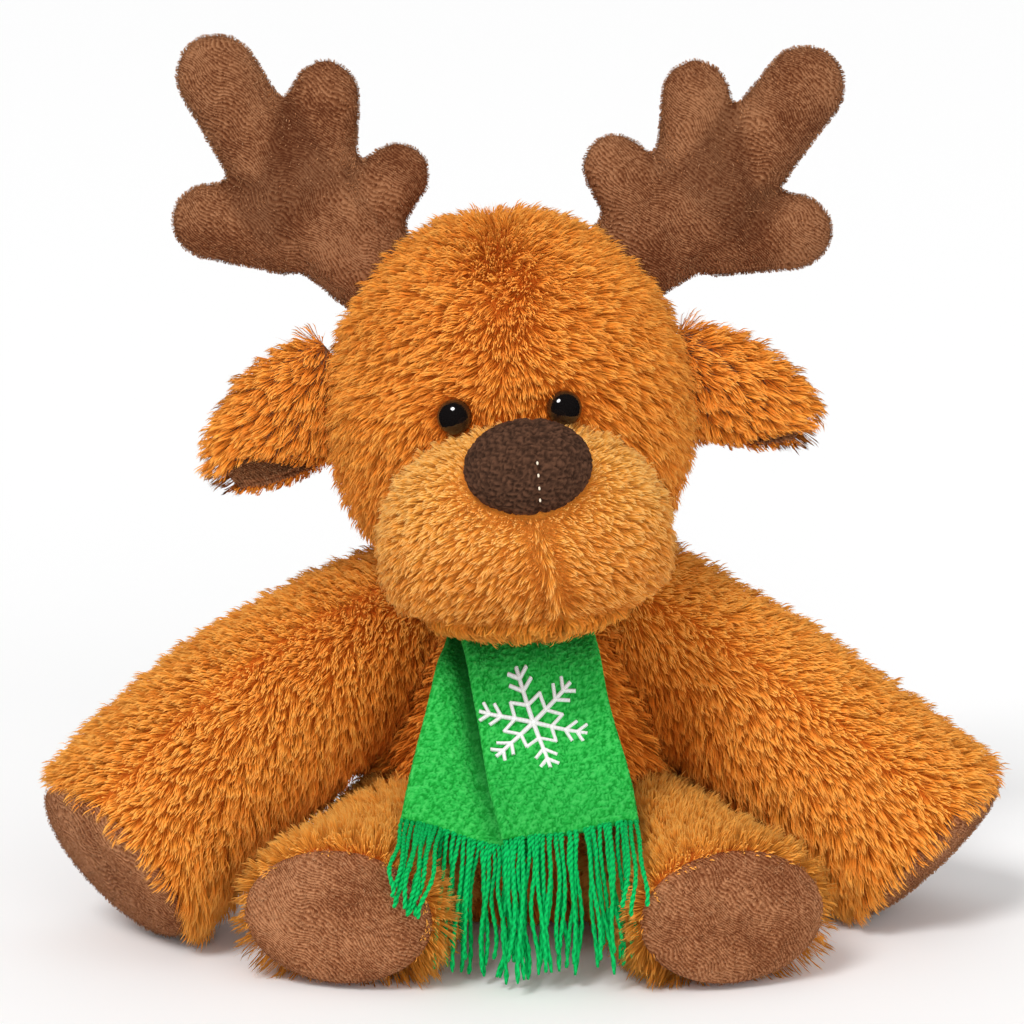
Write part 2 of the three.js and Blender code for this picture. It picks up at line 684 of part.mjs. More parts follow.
// Scarf
// A closed hoop: a rounded band carried round the neck, high over the shoulders and low in front
function collarPiece(headBodies) {
	const cornerReach = 1 / Math.cos(Math.PI / bandSides);
	const [halfBand, halfThickness] = [collarBand / 2, collarThickness / 2];
	const corners = [];
	const faces = [];
	for (let step = 0; step < bodySides; step += 1) {
		const angle = (2 * Math.PI * step) / bodySides;
		const [out, behind] = [Math.cos(angle), Math.sin(angle)];
		const endHeight = behind < 0 ? collarFrontHeight : collarBackHeight;
		const rise = THREE.MathUtils.lerp(endHeight, collarSideHeight, out ** 2);
		for (let side = 0; side < bandSides; side += 1) {
			const round = (2 * Math.PI * (side + 0.5)) / bandSides;
			const inward = cornerReach * halfThickness * Math.cos(round);
			corners.push(new THREE.Vector3(
				(collarHalfWidth - halfThickness + inward) * out,
				(collarHalfDepth - halfThickness + inward) * behind - neckForward,
				rise + cornerReach * halfBand * Math.sin(round)));
			const [next, ahead] = [(side + 1) % bandSides, ((step + 1) % bodySides) * bandSides];
			const here = step * bandSides;
			faces.push(here + side, ahead + side, ahead + next, here + side, ahead + next, here + next);
		}
	}
	const head = swept(joined(headBodies), neckCentre, up, bothWays(headTurnRange));
	return solid(meshed(corners, faces)).subtract(head).subtract(torsoForm(-pieceGap)).subtract(sockets);
}

const lapPath = new THREE.CatmullRomCurve3([
	new THREE.Vector3(0, -chestForward, chestHeight),
	new THREE.Vector3(0, -bellyForward, bellyHeight),
	new THREE.Vector3(0, -waistForward, waistHeight),
	new THREE.Vector3(0, -lapForward, lapHeight),
]);
const lapLength = lapPath.getLength();

// A point above the cloth's resting surface: to the right, along the path and out from it
function lapPoint(across, along, out) {
	const place = THREE.MathUtils.clamp(along / lapLength, 0, 1);
	const point = lapPath.getPointAt(place);
	const tangent = lapPath.getTangentAt(place);
	point.addScaledVector(tangent, along - place * lapLength);
	const fold = foldDepth * Math.cos((2 * Math.PI * across) / foldSpacing);
	return point.addScaledVector(tangent.clone().cross(right), out + fold).addScaledVector(right, across);
}

// Points of one tail, from places across and along its own strip
function tailPoint(tail, across, along, out) {
	const [cosine, sine] = [Math.cos(radians(tail.turn)), Math.sin(radians(tail.turn))];
	const aside = tail.right + across * cosine + along * sine;
	return lapPoint(aside, along * cosine - across * sine, tail.layer + out);
}

const lowerTail = { right: lowerTailRight, turn: lowerTailTurn, length: lowerTailLength, layer: 0 };
const upperLayer = scarfThickness + 2 * pieceGap;
const upperTail = {
	right: upperTailRight, turn: upperTailTurn, length: upperTailLength, layer: upperLayer,
};

function tailCloth(tail) {
	const sheet = (u, v) => tailPoint(tail, (u - 0.5) * scarfWidth, v * tail.length, 0);
	return solid(slab(sheet, scarfThickness, 9, 8));
}

const legsAround = joined([limbs.leg_left, limbs.leg_right].map((shape) =>
	limbForm(shape, -pieceGap, pieceGap).add(limbPad(shape, pieceGap))));

// Height of the leg below a point that lies ahead of its root, or nothing beside it
function legHeight({ pivot, length, along, across, rows }, point) {
	const away = point.clone().sub(pivot);
	const [place, aside] = [away.dot(along), away.dot(across)];
	const { high, wide } = rows.find((row) => row.place >= Math.min(place, length));
	return Math.abs(aside) < wide ? pivot.z + high * Math.sqrt(1 - (aside / wide) ** 2) : 0;
}

// Bundles of yarn as one slab with notches between them, over the legs and down from the tail's edge
function fringePiece(tail) {
	const start = tail.length + (scarfThickness + fringeThickness) / 2 + pieceGap;
	const sheet = (u, v) => {
		const between = Math.abs(2 * ((u * fringeYarns) % 1) - 1) ** 2;
		const point = tailPoint(tail, (u - 0.5) * scarfWidth, start, 0);
		const rest = Math.max(...[limbs.leg_left, limbs.leg_right].map((shape) => legHeight(shape, point)));
		const forward = rest > point.z / 2 ? footForward + padDome + fringeThickness + point.y : 0;
		const quarter = (Math.PI / 2) * v * (1 - notchShare * between);
		point.y -= (fringeForward + 2 * tail.layer + Math.max(forward, 0)) * Math.sin(quarter);
		point.z -= Math.min(point.z - fringeThickness, fringeLength - forward) * (1 - Math.cos(quarter));
		return point;
	};
	return solid(slab(sheet, fringeThickness, 2 * fringeYarns, 3)).subtract(legsAround);
}

// Where one edge of the ring of points leaves an arm, and its peak between two arms
function starEdge(offset) {
	const foot = new THREE.Vector2(starFootShare * snowflakeRadius, 0);
	const ray = new THREE.Vector2(Math.cos(radians(30)), Math.sin(radians(30)));
	const course = ray.clone().multiplyScalar(starPeakShare * snowflakeRadius).sub(foot).normalize();
	foot.addScaledVector(new THREE.Vector2(course.y, -course.x), offset);
	const onArm = foot.clone().addScaledVector(course, (snowflakeBar / 2 - foot.y) / course.y);
	const peak = foot.clone().addScaledVector(course, foot.cross(ray) / ray.cross(course));
	return [onArm, peak];
}

// One side of an arm, from the ring of points to the tip
function armEdge() {
	const [half, lean] = [snowflakeBar / 2, radians(barbAngle)];
	const [course, width] = [new THREE.Vector2(Math.cos(lean), Math.sin(lean)), barbBar / 2];
	const barbs = barbShares.flatMap(([placeShare, lengthShare]) => {
		const root = new THREE.Vector2(placeShare * snowflakeRadius, half);
		const aside = new THREE.Vector2(width / Math.sin(lean), 0);
		const tip = root.clone().addScaledVector(course, lengthShare * snowflakeRadius);
		const across = new THREE.Vector2(course.y, -course.x).multiplyScalar(width);
		return [root.clone().sub(aside), tip.clone().sub(across), tip.clone().add(across),
			root.clone().add(aside)];
	});
	return [starEdge(barbBar / 2)[0], ...barbs, new THREE.Vector2(snowflakeRadius, barbBar / 2)];
}

function snowflakePiece() {
	const edge = armEdge();
	const mirrored = edge.map(({ x, y }) => new THREE.Vector2(x, -y));
	const arm = [...mirrored, ...edge.toReversed(), starEdge(barbBar / 2)[1]];
	const [innerFoot, innerPeak] = starEdge(-barbBar / 2);
	const notch = innerPeak.clone().setLength(snowflakeBar / 2 / Math.sin(radians(30)));
	const farFoot = new THREE.Vector2(innerFoot.x, -innerFoot.y).rotateAround(new THREE.Vector2(), radians(60));
	const allRound = (points) => Array.from({ length: 6 }, (_, index) => points.map((point) =>
		point.clone().rotateAround(new THREE.Vector2(), radians(60 * index))));
	const outline = new THREE.Shape(allRound(arm).flat());
	outline.holes = allRound([notch, farFoot, innerPeak, innerFoot]).map((points) => new THREE.Path(points));
	const flake = new THREE.ExtrudeGeometry(outline, { depth: snowflakeThickness, bevelEnabled: false });
	flake.rotateZ(radians(90 + snowflakeTurn));
	const place = flake.attributes.position;
	const out = scarfThickness / 2 + 2 * pieceGap;
	for (let at = 0; at < place.count; at += 1) {
		const across = snowflakeAcross + place.getX(at);
		const point = tailPoint(upperTail, across, snowflakeAlong - place.getY(at), out + place.getZ(at));
		place.setXYZ(at, point.x, point.y, point.z);
	}
	return solid(flake);
}

// Finishes
const finish = (color, roughness) => new THREE.MeshStandardMaterial({ color, roughness, metalness: 0 });
const orangePlush = finish(0xd6823a, 0.95);
const palePlush = finish(0xe6a05c, 0.95);
const brownPile = finish(0x73503c, 0.9);
const darkPile = finish(0x3a2418, 0.9);
const greenFleece = finish(0x2fb050, 0.95);
const greenYarn = finish(0x12a860, 0.9);
const whiteThread = finish(0xf4f4f0, 0.6);
const blackPlastic = finish(0x0a0806, 0.1);
const clearPlastic = finish(0xd8d8d0, 0.5);
const fibre = finish(0xf2f0ea, 1);
const cottonBag = finish(0xdcd4c4, 0.9);

// Assembly: each moving body is a group that stands at its joint
const deer = new THREE.Group();

function body(parent, pivot) {
	const group = new THREE.Group();
	parent.add(group);
	group.position.copy(parent.worldToLocal(pivot.clone()));
	group.updateWorldMatrix(true, false);
	return group;
}

function add(group, name, shape, material) {
	const geometry = (shape.isBufferGeometry ? shape : surface(shape)).clone();
	group.updateWorldMatrix(true, false);
	geometry.applyMatrix4(group.matrixWorld.clone().invert());
	const mesh = new THREE.Mesh(geometry.toNonIndexed(), material);
	mesh.geometry.computeVertexNormals();
	mesh.name = name;
	group.add(mesh);
}

const torso = torsoPieces();
add(deer, 'torso_cover', torso.cover, orangePlush);
add(deer, 'torso_filling', torso.filling, fibre);
add(deer, 'pellet_bag', torso.bag, cottonBag);
add(body(deer, tailPivot), 'tail', tailPiece(), orangePlush);

for (const [name, shape] of Object.entries(limbs)) {
	const group = body(deer, shape.pivot);
	const { cover, filling, pad } = limbPieces(shape);
	add(group, `${name}_cover`, cover, orangePlush);
	add(group, `${name}_filling`, filling, fibre);
	add(group, `${name}_pad`, pad, brownPile);
}

const head = body(deer, neckCentre);
const inHead = (shape) => moved(shape, headFrame);
const headFinishes = {
	head_cover: orangePlush, head_filling: fibre, muzzle_cover: palePlush, chin_cover: orangePlush,
	nose_cover: darkPile, nose_filling: fibre,
};
const headShapes = headPieces();
for (const [name, material] of Object.entries(headFinishes)) {
	add(head, name, inHead(headShapes[name]), material);
}

for (const [side, hand, lean] of [[-1, 'left', leftAntlerLean], [1, 'right', rightAntlerLean]]) {
	const eyeAt = headFrame.clone().multiply(eyeFrame(side));
	add(head, `eye_${hand}`, moved(solid(eyePiece()), eyeAt), blackPlastic);
	add(head, `eye_washer_${hand}`, moved(solid(washerPiece()), eyeAt), clearPlastic);

	const antler = antlerPieces(side, lean);
	const antlerBody = body(head, antlerPivot(side).applyMatrix4(headFrame));
	add(antlerBody, `antler_${hand}_cover`, inHead(antler.cover), brownPile);
	add(antlerBody, `antler_${hand}_filling`, inHead(antler.filling), fibre);

	const ear = earPieces(side);
	const earBody = body(head, earPivot(side).applyMatrix4(headFrame));
	add(earBody, `ear_${hand}_back`, inHead(ear.back), orangePlush);
	add(earBody, `ear_${hand}_lining`, inHead(ear.lining), brownPile);
}

const lapPivot = new THREE.Vector3(0, -chestForward, chestHeight);
const headBodies = [skullForm(-pieceGap), muzzleForm(-pieceGap)].map(inHead);
add(deer, 'scarf_collar', collarPiece(headBodies), greenFleece);
for (const [hand, tail] of [['upper', upperTail], ['lower', lowerTail]]) {
	const group = body(deer, lapPivot);
	add(group, `scarf_tail_${hand}`, tailCloth(tail), greenFleece);
	add(group, `fringe_${hand}`, fringePiece(tail), greenYarn);
	if (tail === upperTail) {
		add(group, 'snowflake', snowflakePiece(), whiteThread);
	}
}

// The origin is the middle of the footprint
const bounds = new THREE.Box3().setFromObject(deer);
const middle = bounds.getCenter(new THREE.Vector3());
deer.position.set(-middle.x, -middle.y, -bounds.min.z);

export default deer;
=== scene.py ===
"""Dresses the sitting plush deer: stuffed covers with combed fur, piled antlers and hooves, and a fleece scarf."""

import functools
import math

import bpy
import numpy as np
from bpy.props import FloatProperty, FloatVectorProperty, IntProperty, PointerProperty
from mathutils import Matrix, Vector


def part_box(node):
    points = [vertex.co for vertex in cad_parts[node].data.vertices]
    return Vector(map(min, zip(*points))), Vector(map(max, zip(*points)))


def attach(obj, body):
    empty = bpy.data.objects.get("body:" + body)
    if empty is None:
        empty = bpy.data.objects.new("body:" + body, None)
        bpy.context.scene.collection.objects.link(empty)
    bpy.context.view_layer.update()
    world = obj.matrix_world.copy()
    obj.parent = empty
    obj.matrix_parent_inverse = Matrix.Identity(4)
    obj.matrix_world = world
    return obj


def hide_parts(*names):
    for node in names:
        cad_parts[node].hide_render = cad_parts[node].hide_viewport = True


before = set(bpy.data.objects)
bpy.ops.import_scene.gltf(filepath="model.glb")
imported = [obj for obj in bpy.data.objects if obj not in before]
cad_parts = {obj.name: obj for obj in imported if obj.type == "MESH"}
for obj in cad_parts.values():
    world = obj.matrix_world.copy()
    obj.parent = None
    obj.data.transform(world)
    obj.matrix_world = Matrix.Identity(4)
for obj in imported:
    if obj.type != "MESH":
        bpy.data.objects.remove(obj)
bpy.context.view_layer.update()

bl_info = {
    "name": "Plush deer",
    "version": (1, 0, 0),
    "blender": (4, 5, 0),
    "location": "3D View > Sidebar > Deer",
    "description": "Dresses the plush deer with fur, pile, fleece, yarn and stitches",
    "category": "Object",
}

MM = 0.001
TORSO_LOW, TORSO_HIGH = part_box("torso_cover")
# The torso's middle stands this far ahead of the part's own middle, in millimetres
TORSO_AHEAD = 18.0
# What moves the part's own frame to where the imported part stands
SHIFT = np.array([(TORSO_LOW.x + TORSO_HIGH.x) / 2, (TORSO_LOW.y + TORSO_HIGH.y) / 2 + TORSO_AHEAD * MM, 0.0])
RIGHT, BACK, UP = np.eye(3)


# ---------------------------------------------------------------- numbers

def unit(vectors):
    """Each vector divided by its length."""
    return vectors / np.maximum(np.linalg.norm(vectors, axis=-1, keepdims=True), 1e-12)


def dots(first, second):
    """The dot product of each pair, kept as a column."""
    return np.sum(first * second, axis=-1, keepdims=True)


def fade(low, high, values):
    """Nought below low, one above high, and a smooth S between them."""
    share = np.clip((values - low) / (high - low), 0, 1)
    return share * share * (3 - 2 * share)


def eased(rows, places):
    """The rows' other columns at any place of the first: cubics whose slope at a row is the harmonic mean of the
    slopes on both sides, or level where these differ in sign."""
    rows = np.asarray(rows, float)
    stops, values = rows[:, 0], rows[:, 1:]
    step = np.diff(stops)[:, None]
    slope = np.diff(values, axis=0) / step
    product = slope[:-1] * slope[1:]
    total = slope[:-1] + slope[1:]
    inner = np.where(product > 0, 2 * product / np.where(np.abs(total) < 1e-9, 1, total), 0)
    slopes = np.vstack([slope[:1], inner, slope[-1:]])
    at = np.clip(np.searchsorted(stops, places) - 1, 0, len(stops) - 2)
    wide = step[at]
    t = np.clip((places - stops[at]) / wide[..., 0], 0, 1)[..., None]
    start, end = (1 + 2 * t) * (1 - t) ** 2, t * t * (3 - 2 * t)
    return start * values[at] + end * values[at + 1] + wide * t * (1 - t) * ((1 - t) * slopes[at] - t * slopes[at + 1])


def scrambled(cells, seed, turn):
    """A number from nought to one for each whole-number cell: its three numbers are multiplied by large primes,
    joined, and their bits mixed."""
    cells = cells.astype(np.int64).astype(np.uint64)
    primes = np.array([73856093, 19349663, 83492791], np.uint64)
    with np.errstate(over="ignore"):
        mixed = np.bitwise_xor.reduce(cells * primes, axis=-1)
        mixed = mixed + np.uint64(0x9E3779B97F4A7C15) * np.uint64(seed * 16 + turn + 1)
        for shift, factor in ((30, 0xBF58476D1CE4E5B9), (27, 0x94D049BB133111EB)):
            mixed = (mixed ^ (mixed >> np.uint64(shift))) * np.uint64(factor)
    return ((mixed ^ (mixed >> np.uint64(31))) >> np.uint64(11)).astype(float) / 2.0 ** 53


def tufts(points, size, seed):
    """The nearest tuft to each point, and three numbers of its own: tufts stand at a scattered place in each cube of
    a grid, and the 27 cubes about the point are tried."""
    cells = np.floor(points / size)
    nearest = np.full(len(points), np.inf)
    middles = np.zeros_like(points)
    own = np.zeros((len(points), 3))
    for offset in np.stack(np.meshgrid(*[[-1, 0, 1]] * 3), axis=-1).reshape(-1, 3):
        cell = cells + offset
        scatter = np.stack([scrambled(cell, seed, turn) for turn in range(3)], axis=-1)
        middle = (cell + scatter) * size
        away = np.sum((middle - points) ** 2, axis=-1)
        closer = away < nearest
        nearest[closer] = away[closer]
        middles[closer] = middle[closer]
        own[closer] = np.stack([scrambled(cell[closer], seed, turn) for turn in (3, 4, 5)], axis=-1)
    return middles, own


def waver(points, length, seed):
    """A smooth random vector at each point: the sum of nine sine waves of about that length, each along its own
    direction."""
    chance = np.random.default_rng(seed)
    total = np.zeros_like(points)
    for _ in range(9):
        course = unit(chance.normal(size=3)) * 2 * math.pi / (length * chance.uniform(0.6, 1.5))
        total += np.sin(points @ course + chance.uniform(0, 2 * math.pi))[:, None] * unit(chance.normal(size=3))
    return total / 3


def spread(*ways):
    """A grid of numbers for each way: even steps from its first value to its second, as many as its third says."""
    return np.meshgrid(*[np.linspace(*way) for way in ways], indexing="ij")


# ---------------------------------------------------------------- meshes

NO_QUADS, NO_TRIANGLES = np.empty((0, 4), int), np.empty((0, 3), int)


def closed_by_volume(points, quads, triangles=NO_TRIANGLES):
    """The shape, its faces turned round if the volume that they enclose comes out below nought."""
    loose = np.vstack([quads[:, [0, 1, 2]], quads[:, [0, 2, 3]], triangles])
    corners = points[loose]
    volume = np.sum(corners[:, 0] * np.cross(corners[:, 1], corners[:, 2]))
    return (points, quads, triangles) if volume > 0 else (points, quads[:, ::-1], triangles[:, ::-1])


def joined(shapes):
    """The points, quads and triangles of several shapes as those of one."""
    starts = np.cumsum([0] + [len(points) for points, _, _ in shapes[:-1]])
    return (np.vstack([points for points, _, _ in shapes]),
            np.vstack([quads + start for (_, quads, _), start in zip(shapes, starts)]),
            np.vstack([triangles + start for (_, _, triangles), start in zip(shapes, starts)]))


def new_piece(name, points, quads=NO_QUADS, triangles=NO_TRIANGLES):
    """A mesh object from points in millimetres of the part's own frame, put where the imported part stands."""
    mesh = bpy.data.meshes.new(name)
    mesh.vertices.add(len(points))
    mesh.vertices.foreach_set("co", (points * MM + SHIFT).astype(np.float32).ravel())
    corners = np.concatenate([quads.ravel(), triangles.ravel()]).astype(np.int32)
    starts = np.concatenate([np.arange(len(quads)) * 4, len(quads) * 4 + np.arange(len(triangles)) * 3])
    mesh.loops.add(len(corners))
    mesh.loops.foreach_set("vertex_index", corners)
    mesh.polygons.add(len(starts))
    mesh.polygons.foreach_set("loop_start", starts.astype(np.int32))
    mesh.update(calc_edges=True)
    mesh.validate()
    mesh.shade_smooth()
    piece = bpy.data.objects.new(name, mesh)
    bpy.context.scene.collection.objects.link(piece)
    return piece


def ring_faces(rings, sides, first_tip, last_tip):
    """Quads between neighbouring rings and triangles from the end rings to their tips."""
    ring, side = np.meshgrid(np.arange(rings - 1), np.arange(sides), indexing="ij")
    ahead = (side + 1) % sides
    quads = np.stack([ring * sides + side, ring * sides + ahead,
                      (ring + 1) * sides + ahead, (ring + 1) * sides + side], -1)
    turn = np.arange(sides)
    last = (rings - 1) * sides
    caps = [np.stack([(turn + 1) % sides, turn, np.full(sides, first_tip)], -1),
            np.stack([last + turn, last + (turn + 1) % sides, np.full(sides, last_tip)], -1)]
    return quads.reshape(-1, 4), np.vstack(caps)


def slab_faces(rows, columns):
    """Quads of two grids of points, the upper one first, and of the strips that join their borders."""
    row, column = np.meshgrid(np.arange(rows - 1), np.arange(columns - 1), indexing="ij")
    upper = np.stack([row * columns + column, row * columns + column + 1, (row + 1) * columns + column + 1,
                      (row + 1) * columns + column], -1).reshape(-1, 4)
    lower = upper[:, ::-1] + rows * columns
    border = np.concatenate([
        np.arange(columns), np.arange(1, rows) * columns + columns - 1,
        (rows - 1) * columns + np.arange(columns - 2, -1, -1), np.arange(rows - 2, 0, -1) * columns])
    ahead = np.roll(border, -1)
    strip = np.stack([ahead, border, border + rows * columns, ahead + rows * columns], -1)
    return np.vstack([upper, lower, strip])


def grid_normals(grid):
    """The direction square to a grid of points: the cross product of its slopes along both ways."""
    return unit(np.cross(np.gradient(grid, axis=1), np.gradient(grid, axis=0)))


def slab_points(grid, thickness):
    """The two faces of a slab about a grid of points, half of its thickness to each side, which falls to nothing at
    the borders along a quarter circle."""
    half = thickness / 2
    along = np.cumsum(np.linalg.norm(np.diff(grid, axis=0, prepend=grid[:1]), axis=-1), axis=0)
    aside = np.cumsum(np.linalg.norm(np.diff(grid, axis=1, prepend=grid[:, :1]), axis=-1), axis=1)
    inward = np.minimum(np.minimum(along, along[-1:] - along), np.minimum(aside, aside[:, -1:] - aside))
    bulge = np.sqrt(np.clip(1 - (1 - np.clip(inward / half, 0, 1)) ** 2, 0.02, 1))
    reach = (half * bulge)[..., None] * grid_normals(grid)
    return grid + reach, grid - reach


def slab(upper, lower):
    """The closed shape between two grids of points."""
    points = np.vstack([upper.reshape(-1, 3), lower.reshape(-1, 3)])
    return closed_by_volume(points, slab_faces(*upper.shape[:2]))


def coordinates(mesh):
    """The mesh's points as an array."""
    points = np.empty(len(mesh.vertices) * 3, np.float32)
    mesh.vertices.foreach_get("co", points)
    return points.reshape(-1, 3)


def points_of(piece):
    """The piece's points, in millimetres of the part's own frame."""
    return (coordinates(piece.data) - SHIFT) / MM


class Skin:
    """The surface of a piece that pile grows on: points, triangles and smooth normals, in the part's own frame."""

    def __init__(self, piece):
        piece.data.calc_loop_triangles()
        triangles = np.empty(len(piece.data.loop_triangles) * 3, np.int32)
        piece.data.loop_triangles.foreach_get("vertices", triangles)
        self.points, self.triangles = points_of(piece), triangles.reshape(-1, 3)
        corners = self.points[self.triangles]
        self.across = np.cross(corners[:, 1] - corners[:, 0], corners[:, 2] - corners[:, 0])
        normals = np.zeros_like(self.points)
        for corner in range(3):
            np.add.at(normals, self.triangles[:, corner], self.across)
        self.normals = unit(normals)

    def scattered(self, per_area, chance, share=None):
        """Random places on it, and the normal there: a triangle is drawn by its area times share, and a place in it
        by two even random numbers folded into it."""
        corners = self.points[self.triangles]
        area = np.linalg.norm(self.across, axis=-1) / 2
        weight = area if share is None else area * share(corners.mean(1), unit(self.across))
        count = int(weight.sum() * per_area)
        drawn = np.searchsorted(np.cumsum(weight) / weight.sum(), chance.random(count))
        drawn = np.minimum(drawn, len(area) - 1)
        first, second = chance.random(count), chance.random(count)
        folded = first + second > 1
        first[folded], second[folded] = 1 - first[folded], 1 - second[folded]
        parts = np.stack([1 - first - second, first, second], -1)[..., None]
        normals = unit(np.sum(self.normals[self.triangles[drawn]] * parts, axis=1))
        return np.sum(corners[drawn] * parts, axis=1), normals


class Room:
    """A grid of small cubes that marks where other pieces are, so that no strand grows through them."""

    SIZE = 1.6
    LOW = np.array([-210.0, -230.0, -20.0])
    SHAPE = (270, 220, 260)

    def __init__(self, *clouds):
        self.taken = np.zeros(self.SHAPE, bool)
        for cloud in clouds:
            self.taken[tuple(self._cells(cloud.reshape(-1, 3)).T)] = True

    def _cells(self, points):
        return np.clip(((points - self.LOW) / self.SIZE).astype(int), 0, np.array(self.SHAPE) - 1)

    def holds(self, points):
        return self.taken[tuple(self._cells(points).T)]


# ---------------------------------------------------------------- the deer's forms, in millimetres

class Form:
    """A stuffed form: ovals carried along a straight or bowed line. Each row is a place along it, a half width and a
    half height."""

    def __init__(self, start, along, across, upward, rows, bow=0.0, span=1.0, tilt=0.0):
        self.start, self.along, self.across, self.upward = start, along, across, upward
        self.rows, self.bow, self.span, self.tilt = np.asarray(rows, float), bow, span, math.radians(tilt)
        self.seam = 0.0

    def tilted(self, places):
        """How far each oval leans along the line: nothing at first, the whole tilt at the end."""
        return self.tilt * fade(0.3 * self.span, self.span, places)

    def bowed(self, places):
        return self.bow * np.sin(math.pi * np.clip(places / self.span, 0, 1))

    def ovals(self, places):
        """Half width and half height of the oval at each place."""
        return [np.interp(places, self.rows[:, 0], self.rows[:, column]) for column in (1, 2)]

    def local(self, points):
        """Place along, aside and upward of each point."""
        away = points - self.start
        places = away @ self.along
        above = away @ self.upward - self.bowed(places)
        lean = self.tilted(places)
        return places - above * np.tan(lean), away @ self.across, above / np.cos(lean)

    def from_seam(self, points):
        """Distance round the form from its lengthwise seam, which runs some degrees to the viewer's side of its top."""
        places, aside, above = self.local(points)
        turn = np.arctan2(-np.sign(self.along[0]) * aside, above) - math.radians(self.seam)
        return self.ovals(places)[0] * turn

    def inside(self, points, grown=0.0):
        """Whether each point is within the ovals, grown by so much."""
        places, aside, above = self.local(points)
        wide, high = self.ovals(places)
        between = (places > self.rows[0, 0] - grown) & (places < self.rows[-1, 0] + grown)
        return between & ((aside / (wide + grown)) ** 2 + (above / (high + grown)) ** 2 < 1)

    def surface(self, inset, rings=48, sides=48):
        """Points and faces of the closed surface: rings at even steps of half a turn from end to end, each ring an
        oval about the line."""
        low, high = self.rows[0, 0], self.rows[-1, 0]
        step = (1 - np.cos(np.linspace(0.03, math.pi - 0.03, rings))) / 2
        halves = np.maximum(np.stack(self.ovals(low + step * (high - low)), -1) - inset, 0.3)
        shown = low + inset + step * (high - low - 2 * inset)
        turn = np.linspace(0, 2 * math.pi, sides, endpoint=False)
        middle = self.start + shown[:, None] * self.along + self.bowed(shown)[:, None] * self.upward
        lean = self.tilted(shown)[:, None]
        upward = np.cos(lean) * self.upward + np.sin(lean) * self.along
        round_ = halves[:, None, :1] * np.cos(turn)[None, :, None] * self.across
        round_ = round_ + halves[:, None, 1:] * np.sin(turn)[None, :, None] * upward[:, None]
        points = (middle[:, None] + round_).reshape(-1, 3)
        tips = np.stack([middle[0] - 0.05 * self.along, middle[-1] + 0.05 * self.along])
        faces = ring_faces(rings, sides, len(points), len(points) + 1)
        return closed_by_volume(np.vstack([points, tips]), *faces)


def through(rows, steps=60):
    """The rows of a form, many and smooth, from a few of them."""
    rows = np.asarray(rows, float)
    places = np.linspace(rows[0, 0], rows[-1, 0], steps)
    return np.column_stack([places, eased(rows, places)])


def within(form, grown):
    """A test for points that lie in a form grown by so much."""
    return lambda points: form.inside(points, grown)


# How far the stuffed forms are pressed into the floor
FLOOR_CUT = 0.5
# Half the torso's width, half its depth, and its height
TORSO_WIDE, TORSO_DEEP, TORSO_TALL = 62, 68, 148
# Each row: a share of the height, then the shares of both halves there
TORSO_SHARES = [[0, .55, .55], [.012, .72, .72], [.07, .89, .89], [.17, .98, .98], [.3, 1, 1], [.45, .96, .96],
                [.6, .86, .84], [.74, .72, .68], [.86, .56, .52], [.95, .38, .34], [1, .18, .16]]
TORSO = Form(np.array([0, -TORSO_AHEAD, 0]), UP, RIGHT, BACK, [
    (TORSO_TALL * rise, TORSO_WIDE * wide, TORSO_DEEP * deep) for rise, wide, deep in through(TORSO_SHARES)])


def ball_rows(wide, deep, high, steps=40):
    """The rows of an ellipsoid from its lowest to its highest point: sines along, cosines across."""
    turn = np.linspace(-math.pi / 2, math.pi / 2, steps)
    return np.column_stack([high * np.sin(turn)] + [np.maximum(half * np.cos(turn), 0.01) for half in (wide, deep)])


def limb(pivot, end, root, shares, halves, arch, tilt=0.0):
    """A limb: half a ball behind its joint, then ovals to its end, all about the line from joint to end. The end
    leans by the tilt, so that it faces further down."""
    along = end - pivot
    length = np.linalg.norm(along)
    along = along / length
    across = unit(np.cross(UP, along))
    upward = np.cross(along, across)
    turn = np.radians(np.linspace(-88, -15, 12))
    rows = [(root[0] * math.sin(t), root[0] * math.cos(t), root[1] * math.cos(t)) for t in turn]
    shown = through([(0, root[0], root[1])] + [
        (share[0] * length, share[-1] * halves[0], share[1] * halves[1]) for share in shares], 40)
    form = Form(pivot, along, across, upward, np.vstack([rows, shown]), arch, length, tilt)
    form.length, form.halves = length, (shares[-1][-1] * halves[0], shares[-1][1] * halves[1])
    lean = math.radians(tilt)
    form.facing = math.cos(lean) * along - math.sin(lean) * upward
    form.end, form.seam, form.raised = end, 40, False
    return form


# The joints' places out from the middle line, ahead of it and above the floor
SHOULDER_OUT, SHOULDER_RISE, HIP_OUT, HIP_AHEAD = 48.0, 111, 40.0, 38
# Half the width of a hoof, half the width and height of a sole, and how far ahead the soles are
HOOF_HALF = 40.0
SOLE_WIDE, SOLE_HIGH, SOLE_AHEAD = 38.5, 28, 156


def arm(side, out, forward, arch, tilt):
    """An arm from the shoulder to a hoof whose rim just reaches the floor: its height and its slope settle in turns."""
    pivot = np.array([side * SHOULDER_OUT, -TORSO_AHEAD, SHOULDER_RISE])
    level = math.hypot(side * out - pivot[0], -forward - pivot[1])
    height = HOOF_HALF
    for _ in range(8):
        height = HOOF_HALF * math.cos(math.atan2(pivot[2] - height, level) + math.radians(tilt)) - FLOOR_CUT
    shares = [[.2, .86], [.42, .92], [.64, .96], [.85, .99], [1, 1]]
    form = limb(pivot, np.array([side * out, -forward, height]), (32, 32), shares,
                (HOOF_HALF, HOOF_HALF), arch, tilt)
    form.seam, form.raised = 30 if side < 0 else 46, True
    return form


